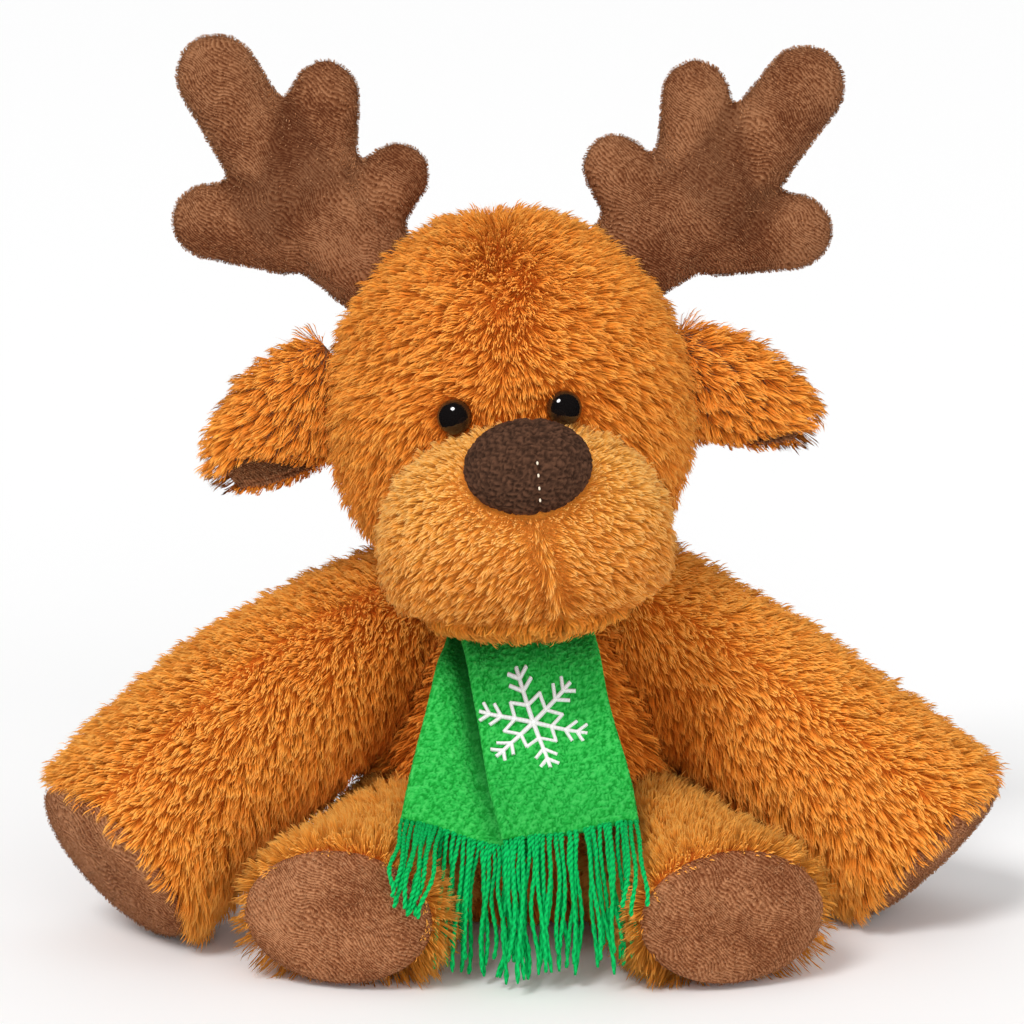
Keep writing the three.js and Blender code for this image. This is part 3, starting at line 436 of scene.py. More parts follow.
def leg(side, out):
    """A leg from the hip along the floor to the sole."""
    shares = [[.3, .98, .78], [.55, .96, .8], [.78, .97, .88], [.93, 1, .98], [1, .97, 1]]
    height = SOLE_HIGH - FLOOR_CUT
    return limb(np.array([side * HIP_OUT, -HIP_AHEAD, height]), np.array([side * out, -SOLE_AHEAD, height]),
                (34, SOLE_HIGH * .98), shares, (SOLE_WIDE, SOLE_HIGH), 0)


# Arms: side, how far the hoof is out and ahead, arch and tilt. Legs: side, and how far the sole is out
LIMBS = {"arm_left": arm(-1, 160.0, 96.0, 9, 4), "arm_right": arm(1, 163.0, 58.0, 2, 9),
         "leg_left": leg(-1, 70.0), "leg_right": leg(1, 79.0)}

# The tail's direction, its root's height, and its half widths at places along it
TAIL_LIFT = np.array([0, math.cos(math.radians(35)), math.sin(math.radians(35))])
TAIL_RISE = 36
TAIL_HALVES = [(-8, 10), (0, 11), (14, 10), (24, 8), (30, 5.5), (33, 2.5), (34, 0.4)]
TAIL = Form(np.array([0, TORSO_DEEP * .98 - TORSO_AHEAD, TAIL_RISE]), TAIL_LIFT, RIGHT, np.cross(TAIL_LIFT, RIGHT),
            through([(place, half, half) for place, half in TAIL_HALVES]))


def head_axes():
    """The head's own right, back and up: it rolls 4.5 degrees about its depth, then turns 2.5 degrees about the
    upright."""
    roll, yaw = math.radians(-4.5), math.radians(2.5)
    about_y = np.array([[math.cos(roll), 0, math.sin(roll)], [0, 1, 0], [-math.sin(roll), 0, math.cos(roll)]])
    about_z = np.array([[math.cos(yaw), -math.sin(yaw), 0], [math.sin(yaw), math.cos(yaw), 0], [0, 0, 1]])
    return about_y @ about_z


HEAD = head_axes()
HEAD_MIDDLE = np.array([-5.0, -52, 205])


def from_head(points):
    """Points of the head's frame in the part's frame."""
    return np.asarray(points, float) @ HEAD.T + HEAD_MIDDLE


def to_head(points):
    """Points of the part's frame in the head's frame."""
    return (points - HEAD_MIDDLE) @ HEAD


def head_form(middle, rows, along=UP, across=RIGHT, upward=BACK):
    """A form whose line and ovals are given in the head's frame."""
    return Form(from_head(middle), HEAD @ along, HEAD @ across, HEAD @ upward, rows)


SKULL_HALVES = np.array([68.0, 63, 76])
SKULL = head_form([0, 0, 0], ball_rows(*SKULL_HALVES))
# The muzzle's lowest place, its height, and half its width and depth, and shares of them as for the torso
CHIN, MUZZLE_TALL, MUZZLE_WIDE, MUZZLE_DEEP = -76.5, 78.5, 54, 42
MUZZLE_SHARES = [[0, .34, .38], [.06, .64, .66], [.16, .86, .86], [.3, .99, .98], [.44, 1, 1], [.58, .97, .98],
                 [.72, .88, .94], [.85, .72, .84], [.95, .46, .62], [1, .22, .3]]
MUZZLE = head_form([0, -58, CHIN], [
    (MUZZLE_TALL * rise, MUZZLE_WIDE * wide, MUZZLE_DEEP * deep) for rise, wide, deep in through(MUZZLE_SHARES)])
# The height of the mouth line, in the head's frame
MOUTH = CHIN + 11
NOSE_MIDDLE = np.array([2.0, -92, -8])
NOSE_HALVES = np.array([25.0, 17, 19])
# How far the nose leans back, in degrees
NOSE_LEAN = -18
# The eye's radius, the foot of its dome over the skull, and the dome's height
EYE_RADIUS, EYE_FOOT, EYE_DOME = 6.8, 1.4, 5.2
# The middle of both eyes to the right, each eye's distance from it, and their height, in the head's frame
EYES_MIDDLE, EYES_APART, EYES_RISE = -2.3, 20.5, 8


def eye_seat(side):
    """Middle and outward direction of an eye, on the skull, in the head's frame."""
    out = EYES_MIDDLE + side * EYES_APART
    wide, deep, high = SKULL_HALVES
    seat = np.array([out, -deep * math.sqrt(1 - (out / wide) ** 2 - (EYES_RISE / high) ** 2), EYES_RISE])
    return seat, unit(seat / SKULL_HALVES ** 2)


def lean_axes(degrees):
    """Right, back and up of a frame turned about its right."""
    turn = math.radians(degrees)
    return RIGHT, np.array([0, math.cos(turn), math.sin(turn)]), np.array([0, -math.sin(turn), math.cos(turn)])


def nose_form(inset=0.0):
    """The nose's pad: an ellipsoid that leans back."""
    across, back, upright = lean_axes(NOSE_LEAN)
    return head_form(NOSE_MIDDLE, ball_rows(*(NOSE_HALVES - inset)), upright, across, back)


def from_nose(local):
    """Distance from the nose's middle as a share of its halves, so that it is one at the nose's surface."""
    return np.linalg.norm((local - NOSE_MIDDLE) / NOSE_HALVES, axis=1)


def from_eyes(local):
    """Distance from the nearer eye's middle."""
    return np.min([np.linalg.norm(local - eye_seat(side)[0], axis=1) for side in (-1, 1)], axis=0)


# The antler's size, and its root's place out from the head's middle and behind it
ANTLER_SIZE, ANTLER_OUT, ANTLER_BEHIND = 92, 52.0, 14
# Lobes of an antler as shares of its size: aside, up and radius of one end, and then of the other
ANTLER_SHARES = [[-.08, .05, .22, .28, .41, .3], [.1, .29, .22, -.12, .52, .155], [.26, .47, .21, .21, .85, .165],
                 [.36, .42, .22, .69, .91, .195], [.36, .26, .22, .7, .27, .18]]


def antler_lobes(side):
    """The lobes of an antler as forms: each tapers between two round ends, and is flatter in depth."""
    lean, rise = math.radians(7.5 if side < 0 else 8), 49 if side < 0 else 43
    across = np.array([math.cos(lean), 0, -math.sin(lean)])
    upward = np.array([math.sin(lean), 0, math.cos(lean)])
    root = np.array([side * ANTLER_OUT, ANTLER_BEHIND, rise])
    forms = []
    for share in np.array(ANTLER_SHARES) * ANTLER_SIZE:
        ends = [root + side * share[at] * across + share[at + 1] * upward for at in (0, 3)]
        length = np.linalg.norm(ends[1] - ends[0])
        along = (ends[1] - ends[0]) / length
        turn = np.radians(np.linspace(-85, 0, 10))
        first = [(share[2] * math.sin(t), share[2] * math.cos(t)) for t in turn]
        last = [(length - share[5] * math.sin(t), share[5] * math.cos(t)) for t in turn[::-1]]
        rows = [(place, radius * .64, radius) for place, radius in first + last]
        forms.append(head_form(ends[0], rows, along, BACK, np.cross(along, BACK)))
    return forms


def antler_creases(side, points):
    """How deep each point is in the crotch of two tines: the product of how near it is to both, as distances from
    their middle lines less their radii."""
    local = to_head(points)
    near = []
    for lobe in antler_lobes(side)[1:]:
        start, along = to_head(lobe.start), lobe.along @ HEAD
        length = lobe.rows[10, 0]
        place = np.clip((local - start) @ along, 0, length)
        away = local - start - place[:, None] * along
        away[:, 1] *= 0.3
        radius = np.interp(place, [0, length], [lobe.rows[9, 2], lobe.rows[10, 2]])
        near.append(fade(5, -1, np.linalg.norm(away, axis=1) - radius))
    total = np.zeros(len(points))
    for first in range(len(near)):
        for second in range(first):
            total = np.maximum(total, near[first] * near[second])
    palm = np.linalg.norm((local - to_head(antler_lobes(side)[0].start)) * [1, 0, 1], axis=1)
    return total * fade(36, 52, palm)


# How far the ear's fold starts inside the skull, and half its depth
EAR_SUNK, EAR_DEEP = 6, 11
# Shares of the ear's half width and half depth, at even steps from root to tip
EAR_SHARES = [[.86, .8], [.94, .95], [1, 1.05], [.98, 1.1], [.88, 1.05], [.7, .92], [.42, .62]]


def ear_root(side):
    """Middle of an ear's root, in the head's frame."""
    return np.array([side * SKULL_HALVES[0], 6, 15 if side < 0 else 8])


def ear_axes(side):
    """Along, forward and upward directions of an ear, in the head's frame."""
    droop, sweep = math.radians(33 if side < 0 else 26), math.radians(12)
    along = np.array([side * math.cos(droop) * math.cos(sweep), -math.cos(droop) * math.sin(sweep),
                      -math.sin(droop)])
    front = unit(side * np.cross(along, UP))
    return along, front, unit(side * np.cross(front, along))


def ear_cut(side, place):
    """Degrees from the underside to the border of the ear's fold on the viewer's side: little at the root, much at
    the tip."""
    return 8 + (95 * fade(0.3, 0.95, place) if side < 0 else 62 * fade(0.4, 1, place))


def ear_sheet(side, inset, share, u, v):
    """A fold of cloth: an open oval tube along the ear, whose halves follow the shares, cut away below on the
    viewer's side."""
    along, front, high = ear_axes(side)
    half, length = (23, 61) if side < 0 else (20.5, 58)
    place = share * np.clip(v, 0, 1)
    cut = ear_cut(side, place)
    table = np.column_stack([np.linspace(0, 1, len(EAR_SHARES)), EAR_SHARES])
    halves = eased(table, place)
    angle = np.radians(cut + (360 - cut) * u)
    points = ear_root(side) + (share * v * length - EAR_SUNK)[..., None] * along
    points = points - ((half * halves[..., 0] - inset) * np.cos(angle))[..., None] * high
    return from_head(points + ((EAR_DEEP * halves[..., 1] - inset) * np.sin(angle))[..., None] * front)


# Half the scarf's width, and how far apart its lengthwise folds are
SCARF_HALF, FOLD_EVERY = 26.5, 34
# Points of the scarf's path down the chest, from the neck
LAP_STOPS = np.array([[0, -72, 117], [0, -93, 108], [0, -110, 80], [0, -137, 53]], float)


def lap_curve():
    """Points of the scarf's path down the chest: a curve through the stops whose knots are spaced by the square root
    of their distance."""
    ends = np.vstack([2 * LAP_STOPS[0] - LAP_STOPS[1], LAP_STOPS, 2 * LAP_STOPS[-1] - LAP_STOPS[-2]])
    knots = np.concatenate([[0], np.cumsum(np.linalg.norm(np.diff(ends, axis=0), axis=1) ** 0.5)])
    runs = []
    for first in range(3):
        t = knots[first:first + 4]
        at = np.linspace(t[1], t[2], 80, endpoint=first == 2)[:, None]
        p = ends[first:first + 4]
        a = [((t[i + 1] - at) * p[i] + (at - t[i]) * p[i + 1]) / (t[i + 1] - t[i]) for i in range(3)]
        b = [((t[i + 2] - at) * a[i] + (at - t[i]) * a[i + 1]) / (t[i + 2] - t[i]) for i in range(2)]
        runs.append(((t[2] - at) * b[0] + (at - t[1]) * b[1]) / (t[2] - t[1]))
    return np.vstack(runs)


LAP = lap_curve()
LAP_PLACES = np.concatenate([[0], np.cumsum(np.linalg.norm(np.diff(LAP, axis=0), axis=1))])
LAP_TANGENTS = unit(np.gradient(LAP, axis=0))


def lap_points(across, along, out):
    """Points over the scarf's path: to the right, along it and out from it, with soft lengthwise folds."""
    place = np.clip(along, 0, LAP_PLACES[-1])
    middle = np.stack([np.interp(place, LAP_PLACES, LAP[:, axis]) for axis in range(3)], -1)
    tangent = unit(np.stack([np.interp(place, LAP_PLACES, LAP_TANGENTS[:, axis]) for axis in range(3)], -1))
    outward = np.cross(tangent, RIGHT)
    fold = np.cos(2 * math.pi * across / FOLD_EVERY)
    return (middle + (along - place)[..., None] * tangent + (out + fold)[..., None] * outward
            + across[..., None] * RIGHT)


class ScarfTail:
    """One hanging end of the scarf, which starts to the right of the middle, turned by some degrees, and bends aside
    at its top and at its end."""

    def __init__(self, right, turn, length, layer, bends):
        self.right, self.turn, self.length, self.layer, self.bends = right, math.radians(turn), length, layer, bends

    def bent(self, along):
        """How far the cloth bends aside at a place along it."""
        share = np.clip(along / self.length, 0, 1)
        return self.bends[0] * (1 - share) ** 2 + self.bends[1] * share ** 2

    def laid(self, across, along):
        """Place aside and down the chest of a point of the cloth."""
        across = across + self.bent(along)
        return (self.right + across * math.cos(self.turn) + along * math.sin(self.turn),
                along * math.cos(self.turn) - across * math.sin(self.turn))

    def points(self, across, along, out):
        aside, down = self.laid(across, along)
        return lap_points(aside, down, self.layer + out)

    def across_of(self, aside, down):
        """Place across this tail of a point given by its place aside and down the chest."""
        aside = aside - self.right
        along = aside * math.sin(self.turn) + down * math.cos(self.turn)
        return aside * math.cos(self.turn) - down * math.sin(self.turn) - self.bent(along)


# Each end: its start, its turn, its length, how far it stands out from the path, and its bends
TAILS = {"upper": ScarfTail(1, 10, 95, 3.6, (0, 0)), "lower": ScarfTail(3, -18, 97, 0, (-7, 5))}


def upper_fold(beyond):
    """How far the upper tail stands out, by the distance from its left border."""
    return 2.6 * np.exp(-(beyond / 5) ** 2)


# The neck band: half its hoop's width and depth, how far the hoop stands ahead, its height in front, behind and at
# the shoulders, and half the thickness and width of its section
NECK_WIDE, NECK_DEEP, NECK_AHEAD = 49, 41, 24
BAND_FRONT, BAND_BACK, BAND_SHOULDER = 121, 138, 146
BAND_THICK, BAND_WIDE = 3, 6.5


def collar_points(turn, round_, out=0.0):
    """Points of the neck band: an oval hoop, high over the shoulders and low in front, with a rounded section."""
    rise = np.where(np.sin(turn) < 0, BAND_FRONT, BAND_BACK)
    rise = rise + (BAND_SHOULDER - rise) * np.cos(turn) ** 2
    reach = 1 + out / BAND_THICK
    aside = reach * BAND_THICK * np.cos(round_)
    return np.stack([(NECK_WIDE + aside) * np.cos(turn), (NECK_DEEP + aside) * np.sin(turn) - NECK_AHEAD,
                     rise + reach * BAND_WIDE * np.sin(round_)], -1)


# ---------------------------------------------------------------- finishes

class Value:
    """An output of a node, on which sums are written as expressions, each adding its Math node."""

    def __init__(self, finish, socket):
        self.finish, self.socket = finish, socket

    def _sum(self, operation, first, second):
        return self.finish.node("ShaderNodeMath", {"operation": operation}, {0: first, 1: second})

    def __add__(self, other):
        return self._sum("ADD", self, other)

    def __sub__(self, other):
        return self._sum("SUBTRACT", self, other)

    def __mul__(self, other):
        return self._sum("MULTIPLY", self, other)

    def wave(self):
        return self.finish.node("ShaderNodeMath", {"operation": "SINE"}, {0: self})

    __radd__ = __add__
    __rmul__ = __mul__


class Finish:
    """A material with its shader, and the ways to add nodes to it."""

    def __init__(self, name, roughness=0.9, sheen=0.0, sheen_tint=(1, 1, 1), specular=0.3):
        self.material = bpy.data.materials.new(name)
        self.material.use_nodes = True
        self.tree = self.material.node_tree
        self.shader = self.tree.nodes["Principled BSDF"]
        self.shader.inputs["Roughness"].default_value = roughness
        self.shader.inputs["Specular IOR Level"].default_value = specular
        self.shader.inputs["Sheen Weight"].default_value = sheen
        self.shader.inputs["Sheen Roughness"].default_value = 0.5
        self.shader.inputs["Sheen Tint"].default_value = (*sheen_tint, 1)

    def node(self, kind, settings=None, inputs=None, output=0):
        """A node of that type: its settings, or the stops of its ramp, come first, then the values and links of its
        sockets."""
        node = self.tree.nodes.new(kind)
        for name, value in (settings or {}).items():
            if name == "stops":
                for at, (place, colour) in enumerate(value):
                    stop = node.color_ramp.elements[at] if at < 2 else node.color_ramp.elements.new(place)
                    stop.position, stop.color = place, (*colour, 1)
            else:
                setattr(node, name, value)
        for name, value in (inputs or {}).items():
            self.feed(node.inputs[name], value)
        return Value(self, node.outputs[output])

    def feed(self, socket, value):
        if isinstance(value, Value):
            self.tree.links.new(value.socket, socket)
        else:
            socket.default_value = value

    def set(self, name, value):
        self.feed(self.shader.inputs[name], value)

    def made(self, base, height=None, distance=0.0):
        """The material with its colour and, where a height is given, its bumps."""
        self.set("Base Color", base)
        if height is not None:
            self.set("Normal", self.node("ShaderNodeBump", {}, {"Height": height, "Distance": distance}))
        return self.material

    def place(self):
        """The point on the piece, in metres."""
        return self.node("ShaderNodeTexCoord", output=3)

    def attribute(self, name):
        """The number written on the piece's points under that name."""
        return self.node("ShaderNodeAttribute", {"attribute_name": name}, output=2)

    def noise(self, scale, detail=3.0, roughness=0.5):
        return self.node("ShaderNodeTexNoise", {}, {
            "Vector": self.place(), "Scale": scale, "Detail": detail, "Roughness": roughness})

    def ramp(self, value, stops):
        return self.node("ShaderNodeValToRGB", {"stops": stops}, {0: value})

    def mixed(self, share, first, second, blend="MIX"):
        """Two colours mixed by a share."""
        return self.node("ShaderNodeMix", {"data_type": "RGBA", "blend_type": blend}, {
            0: share, 6: colour(first), 7: colour(second)}, 2)


def colour(value):
    """A colour with its alpha, or the node's output as it is."""
    return value if isinstance(value, Value) else (*tuple(value)[:3], 1)


def shade(rgb, *factors):
    """A colour with its parts multiplied by one factor, or each by its own, none above one."""
    return tuple(min(1.0, part * factor) for part, factor in zip(rgb, factors * 3 if len(factors) == 1 else factors))


def fur_finish(name, root, middle, tip):
    """Strand colour: from root to tip along the map's height, partly the pile's own colour and partly painted light:
    dark at the root as painted shade deep in the pile, pale at the tip as painted light. And by the strand's own tone
    along its width.
    """
    finish = Finish(name, 0.7, 0.08, middle, 0.12)
    uv = finish.node("ShaderNodeUVMap", {"uv_map": "OFBake"})
    tone = finish.node("ShaderNodeSeparateXYZ", {}, {0: uv}, 0)
    height = finish.node("ShaderNodeSeparateXYZ", {}, {0: uv}, 1)
    # Painted shade towards the root and painted light at the tip, over the pile's own colour
    along = finish.ramp(height, [(0.0, root), (1.0, tip), (0.3, shade(middle, 0.78)), (0.6, middle)])
    own = finish.ramp(tone, [(0.0, (0.72, 0.56, 0.42)), (1.0, (1.06, 1.3, 1.6)), (0.5, (1, 1, 1))])
    return finish.made(finish.mixed(1.0, along, own, "MULTIPLY"))


def skin_finish(name, base):
    """Backing cloth under the pile: mottled, with the pile's roots as fine bumps."""
    finish = Finish(name, 0.95, 0.15, base)
    fine = finish.noise(900.0, 4.0, 0.7)
    broad = finish.noise(90.0, 2.0)
    mottled = finish.ramp(fine * 0.6 + broad * 0.4, [(0.3, shade(base, 0.55)), (0.7, shade(base, 1.25))])
    return finish.made(mottled, fine, 0.0012)


def velvet_finish(name, base):
    """Short velvet, combed in fine lines 1.1 mm apart: sine waves across one slanted course, bent by a broad noise and
    broken up by a finer one, over brushed patches. Its colour follows that height, partly its own combed pattern and
    partly painted shade in the grooves and painted highlight on the lines, and painted shade darkens the creases."""
    finish = Finish(name, 0.85, 0.12, base, 0.1)
    broad = finish.noise(36.0, 4.0)
    broken = finish.noise(700.0, 3.0, 0.6)
    course = finish.node("ShaderNodeVectorMath", {"operation": "DOT_PRODUCT"},
                         {0: finish.place(), 1: (3500, 900, 4200)}, 1)
    lines = (course + finish.noise(38.0, 2.0) * 110 + broken * 8).wave()
    height = lines * 0.07 + broken * 0.6 + broad * 0.45 - 0.025
    # Dark and light copies of the velvet by the pile's height: painted shade and painted highlight over its combed
    # pattern
    lit = finish.ramp(height, [
        (0.37, shade(base, 0.5, 0.36, 0.28)), (0.63, shade(base, 1.7, 2.05, 2.35)), (0.5, base)])
    # Painted shade in the creases, by a number written on the piece
    return finish.made(finish.mixed(finish.attribute("painted_shade"), lit, shade(base, 0.3, 0.2, 0.15)), height, 0.0013)


def fleece_finish(name, base, dark, pale, grain=650.0):
    """Fleece: curls, after the piece's own nap, over fine fuzz, with painted shade between them and painted highlight
    on their tops, and painted shade where it lies deep in a fold."""
    finish = Finish(name, 0.95, 0.15, base, 0.15)
    fuzz, loops = finish.noise(1500.0, 5.0, 0.75), finish.noise(grain, 3.0, 0.6)
    height = finish.attribute("nap") * 0.4 + fuzz * 0.3 + loops * 0.5
    # Painted shade between the curls and painted highlight on their tops
    lit = finish.ramp(height, [(0.38, dark), (0.82, pale), (0.6, base)])
    # Painted shade deep in the folds, by a number written on the piece
    return finish.made(finish.mixed(finish.attribute("painted_shade"), lit, shade(dark, 0.25)), fuzz * 0.5 + loops, 0.0012)


def yarn_finish(name, base, dark):
    """Twisted yarn: pale on its strands as painted highlight and dark in the grooves between them as painted shade,
    with fine loose fibres.
    """
    finish = Finish(name, 0.9, 0.04, base, 0.12)
    fibres = finish.noise(2200.0, 4.0, 0.7)
    # Painted highlight on the strands and painted shade in the grooves
    lit = finish.ramp(finish.attribute("nap") * 0.75 + fibres * 0.35, [
        (0.15, dark), (0.95, shade(base, 1.5)), (0.55, base)])
    return finish.made(lit, fibres, 0.0004)


def plain_finish(name, base, scale, distance):
    """A mottled material with fine bumps."""
    finish = Finish(name, 0.8, 0.0, base)
    grain = finish.noise(scale, 5.0, 0.65)
    return finish.made(finish.ramp(grain, [(0.3, shade(base, 0.85)), (0.7, shade(base, 1.08))]), grain, distance)


def weave_finish(name, base):
    """Plain weave: two sets of bands square to each other."""
    finish = Finish(name, 0.85, 0.1, base)
    bands = [finish.node("ShaderNodeTexWave", {"bands_direction": way}, {
        "Vector": finish.place(), "Scale": 260.0, "Distortion": 0.4}, 1) for way in ("X", "Z")]
    weave = bands[0] * 0.5 + bands[1] * 0.5
    return finish.made(finish.ramp(weave, [(0.2, shade(base, 0.75)), (0.8, base)]), weave, 0.0004)


def eye_finish(name):
    """Polished plastic: black over the dome, dark amber in a thin ring at its foot."""
    finish = Finish(name, 0.06, 0.0, specular=0.9)
    smears = finish.noise(300.0)
    finish.set("Roughness", 0.04 + smears * 0.06)
    return finish.made(finish.ramp(finish.attribute("rim") + smears * 0.03, [
        (0.0, (0.006, 0.005, 0.005)), (1.0, (0.05, 0.018, 0.006)), (0.55, (0.012, 0.007, 0.005))]))


def thread_finish(name, base):
    """Satin stitch: fine parallel threads across each bar, after the piece's own nap, darker between the threads as
    painted shade.
    """
    finish = Finish(name, 0.45, 0.3, base, 0.5)
    fibres = finish.noise(2500.0)
    # Painted shade between the threads
    lit = finish.ramp(finish.attribute("nap") * 0.7 + fibres * 0.3, [(0.1, shade(base, 0.45)), (0.6, base)])
    return finish.made(lit, fibres, 0.0002)


def floor_finish(base):
    """The plain pale floor."""
    return Finish("studio floor").made(colour(base))


def dress(piece, material):
    """Gives a piece one material."""
    piece.data.materials.clear()
    piece.data.materials.append(material)


def finished(piece, material, body, replaced=()):
    """Gives a piece its material and its body, and hides the nodes that it replaces."""
    dress(piece, material)
    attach(piece, body)
    if replaced:
        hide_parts(*replaced)
    return piece


def set_attribute(piece, name, values):
    """Writes one number for each point of the piece."""
    attribute = piece.data.attributes.new(name, "FLOAT", "POINT")
    attribute.data.foreach_set("value", np.asarray(values, np.float32).ravel())


# ---------------------------------------------------------------- stuffing and pile

# The pressure of the filling, and the steps in which the cloth settles under it
PRESSURE = 4.0
SETTLING = 20
# How far cloth stays above the floor, in millimetres
FLOOR_GAP = 0.2


def frozen(piece):
    """Makes the piece's modifiers part of its mesh."""
    bpy.context.view_layer.update()
    shown = piece.evaluated_get(bpy.context.evaluated_depsgraph_get())
    mesh = bpy.data.meshes.new_from_object(shown)
    piece.modifiers.clear()
    piece.data = mesh


def stuffed(piece, voxel, cap, sewn=None):
    """Remeshes a closed form and lets it swell as filled cloth under pressure, held fast where sewn says, no point
    moving further than the cap. Then one subdivision, and the floor flattens what rests on it."""
    remesh = piece.modifiers.new("remesh", "REMESH")
    remesh.mode, remesh.voxel_size = "VOXEL", voxel * MM
    frozen(piece)
    rest = coordinates(piece.data)
    if sewn is not None:
        group = piece.vertex_groups.new(name="sewn")
        group.add(np.flatnonzero(sewn(points_of(piece))).tolist(), 1.0, "REPLACE")
    cloth = piece.modifiers.new("cloth", "CLOTH")
    rules = cloth.settings
    rules.quality, rules.mass, rules.tension_stiffness = 4, 0.2, 8
    rules.use_pressure, rules.uniform_pressure_force = True, PRESSURE
    rules.effector_weights.gravity = 0
    if sewn is not None:
        rules.vertex_group_mass = "sewn"
    cloth.point_cache.frame_start, cloth.point_cache.frame_end = 1, SETTLING
    for step in range(1, SETTLING + 1):
        bpy.context.scene.frame_set(step)
    shown = piece.evaluated_get(bpy.context.evaluated_depsgraph_get())
    moved = coordinates(shown.data) - rest
    piece.modifiers.clear()
    piece.vertex_groups.clear()
    bpy.context.scene.frame_set(1)
    length = np.linalg.norm(moved, axis=1, keepdims=True)
    moved = moved * np.minimum(1, cap * MM / np.maximum(length, 1e-9))
    piece.data.vertices.foreach_set("co", (rest + moved).ravel())
    finer = piece.modifiers.new("finer", "SUBSURF")
    finer.levels = finer.render_levels = 1
    frozen(piece)
    points = coordinates(piece.data)
    points[:, 2] = np.maximum(points[:, 2], FLOOR_GAP * MM)
    piece.data.vertices.foreach_set("co", points.ravel())
    piece.data.shade_smooth()
    piece.data.update()
    return piece


# The most strands that go into one mesh
MOST_STRANDS = 44000


def pile(name, skin, body, material, comb, per_area, length, width, lift=48, tuft=3.0, pull=0.5, stray=18,
         seed=1, share=None, keep=None, curl=0.0, painted_tone=None):
    """Strands combed over a skin, in as many pieces as their number needs. Each leaves its root at one angle from the
    surface, along the comb's course, and is drawn to its tuft's middle, where tufts differ in length, tone and course.
    Share thins the strands out, keep says which stay, and the tone shift adds painted light and shade, all by place."""
    chance = np.random.default_rng(seed)
    roots, normals = skin.scattered(per_area, chance, share)
    if keep is not None:
        kept = keep(roots, normals)
        roots, normals = roots[kept], normals[kept]
    count = len(roots)
    middles, own = tufts(roots, tuft, seed)
    toward = middles - roots
    toward = toward - dots(toward, normals) * normals
    course = comb(roots, normals)
    course = unit(course - dots(course, normals) * normals)
    aside = np.cross(normals, course)
    swing = np.radians((own[:, :1] - 0.5) * 2 * stray + chance.normal(size=(count, 1)) * stray / 5)
    course = course * np.cos(swing) + aside * np.sin(swing)
    long = length(roots) if callable(length) else np.full(count, float(length))
    long = (long * (0.72 + 0.45 * own[:, 1]) * chance.uniform(0.82, 1.12, count))[:, None]
    lean = lift(roots)[:, None] if callable(lift) else lift
    rise = np.radians(lean + (own[:, 2:] - 0.5) * 20 + chance.normal(size=(count, 1)) * 5)
    sway = curl * chance.uniform(-1, 1, (count, 1)) * np.cross(normals, course)
    tip = roots + long * (np.cos(rise) * course + np.sin(rise) * normals + sway) + pull * toward
    tip[:, 2] = np.maximum(tip[:, 2], FLOOR_GAP + 0.1)
    tone = 0.5 + 0.55 * (own[:, 2] - 0.5) + chance.normal(size=count) * 0.11
    # Painted light and shade, by place
    tone = tone + (0 if painted_tone is None else painted_tone(roots))
    tone = np.clip(tone + 0.35 * (chance.random(count) < 0.05), 0.01, 0.99)
    turn, girth = chance.uniform(0, 2 * math.pi, (count, 1)), width / 2 * chance.uniform(0.7, 1.3, (count, 1))
    if keep is not None:
        kept = keep((roots + tip) / 2, normals) & keep(tip, normals)
        roots, normals, tip, tone, turn, girth = (values[kept] for values in (roots, normals, tip, tone, turn, girth))
    parts = max(1, math.ceil(len(roots) / MOST_STRANDS))
    for part in range(parts):
        label = name if parts == 1 else f"{name}_{part + 1}"
        piece = strand_piece(label, *(values[part::parts] for values in (roots, normals, tip, tone, turn, girth)))
        finished(piece, material, body)


# How far up a drop its widest place is
DROP_PEAK = 0.74
# Corners of a strand's faces, and for each corner its place across and up the map
DROP_FACES = np.array([[0, 2, 1], [0, 3, 2], [0, 1, 3], [4, 1, 2], [4, 2, 3], [4, 3, 1]])
DROP_MAP = np.array([[0, 0.01], [-1, 0.72], [0, DROP_PEAK], [1, 0.72], [0, 0.99]])
CONE_FACES = np.array([[0, 1, 3], [1, 2, 3], [2, 0, 3]])
CONE_MAP = np.array([[-1, 0.01], [0, 0.01], [1, 0.01], [0, 0.99]])


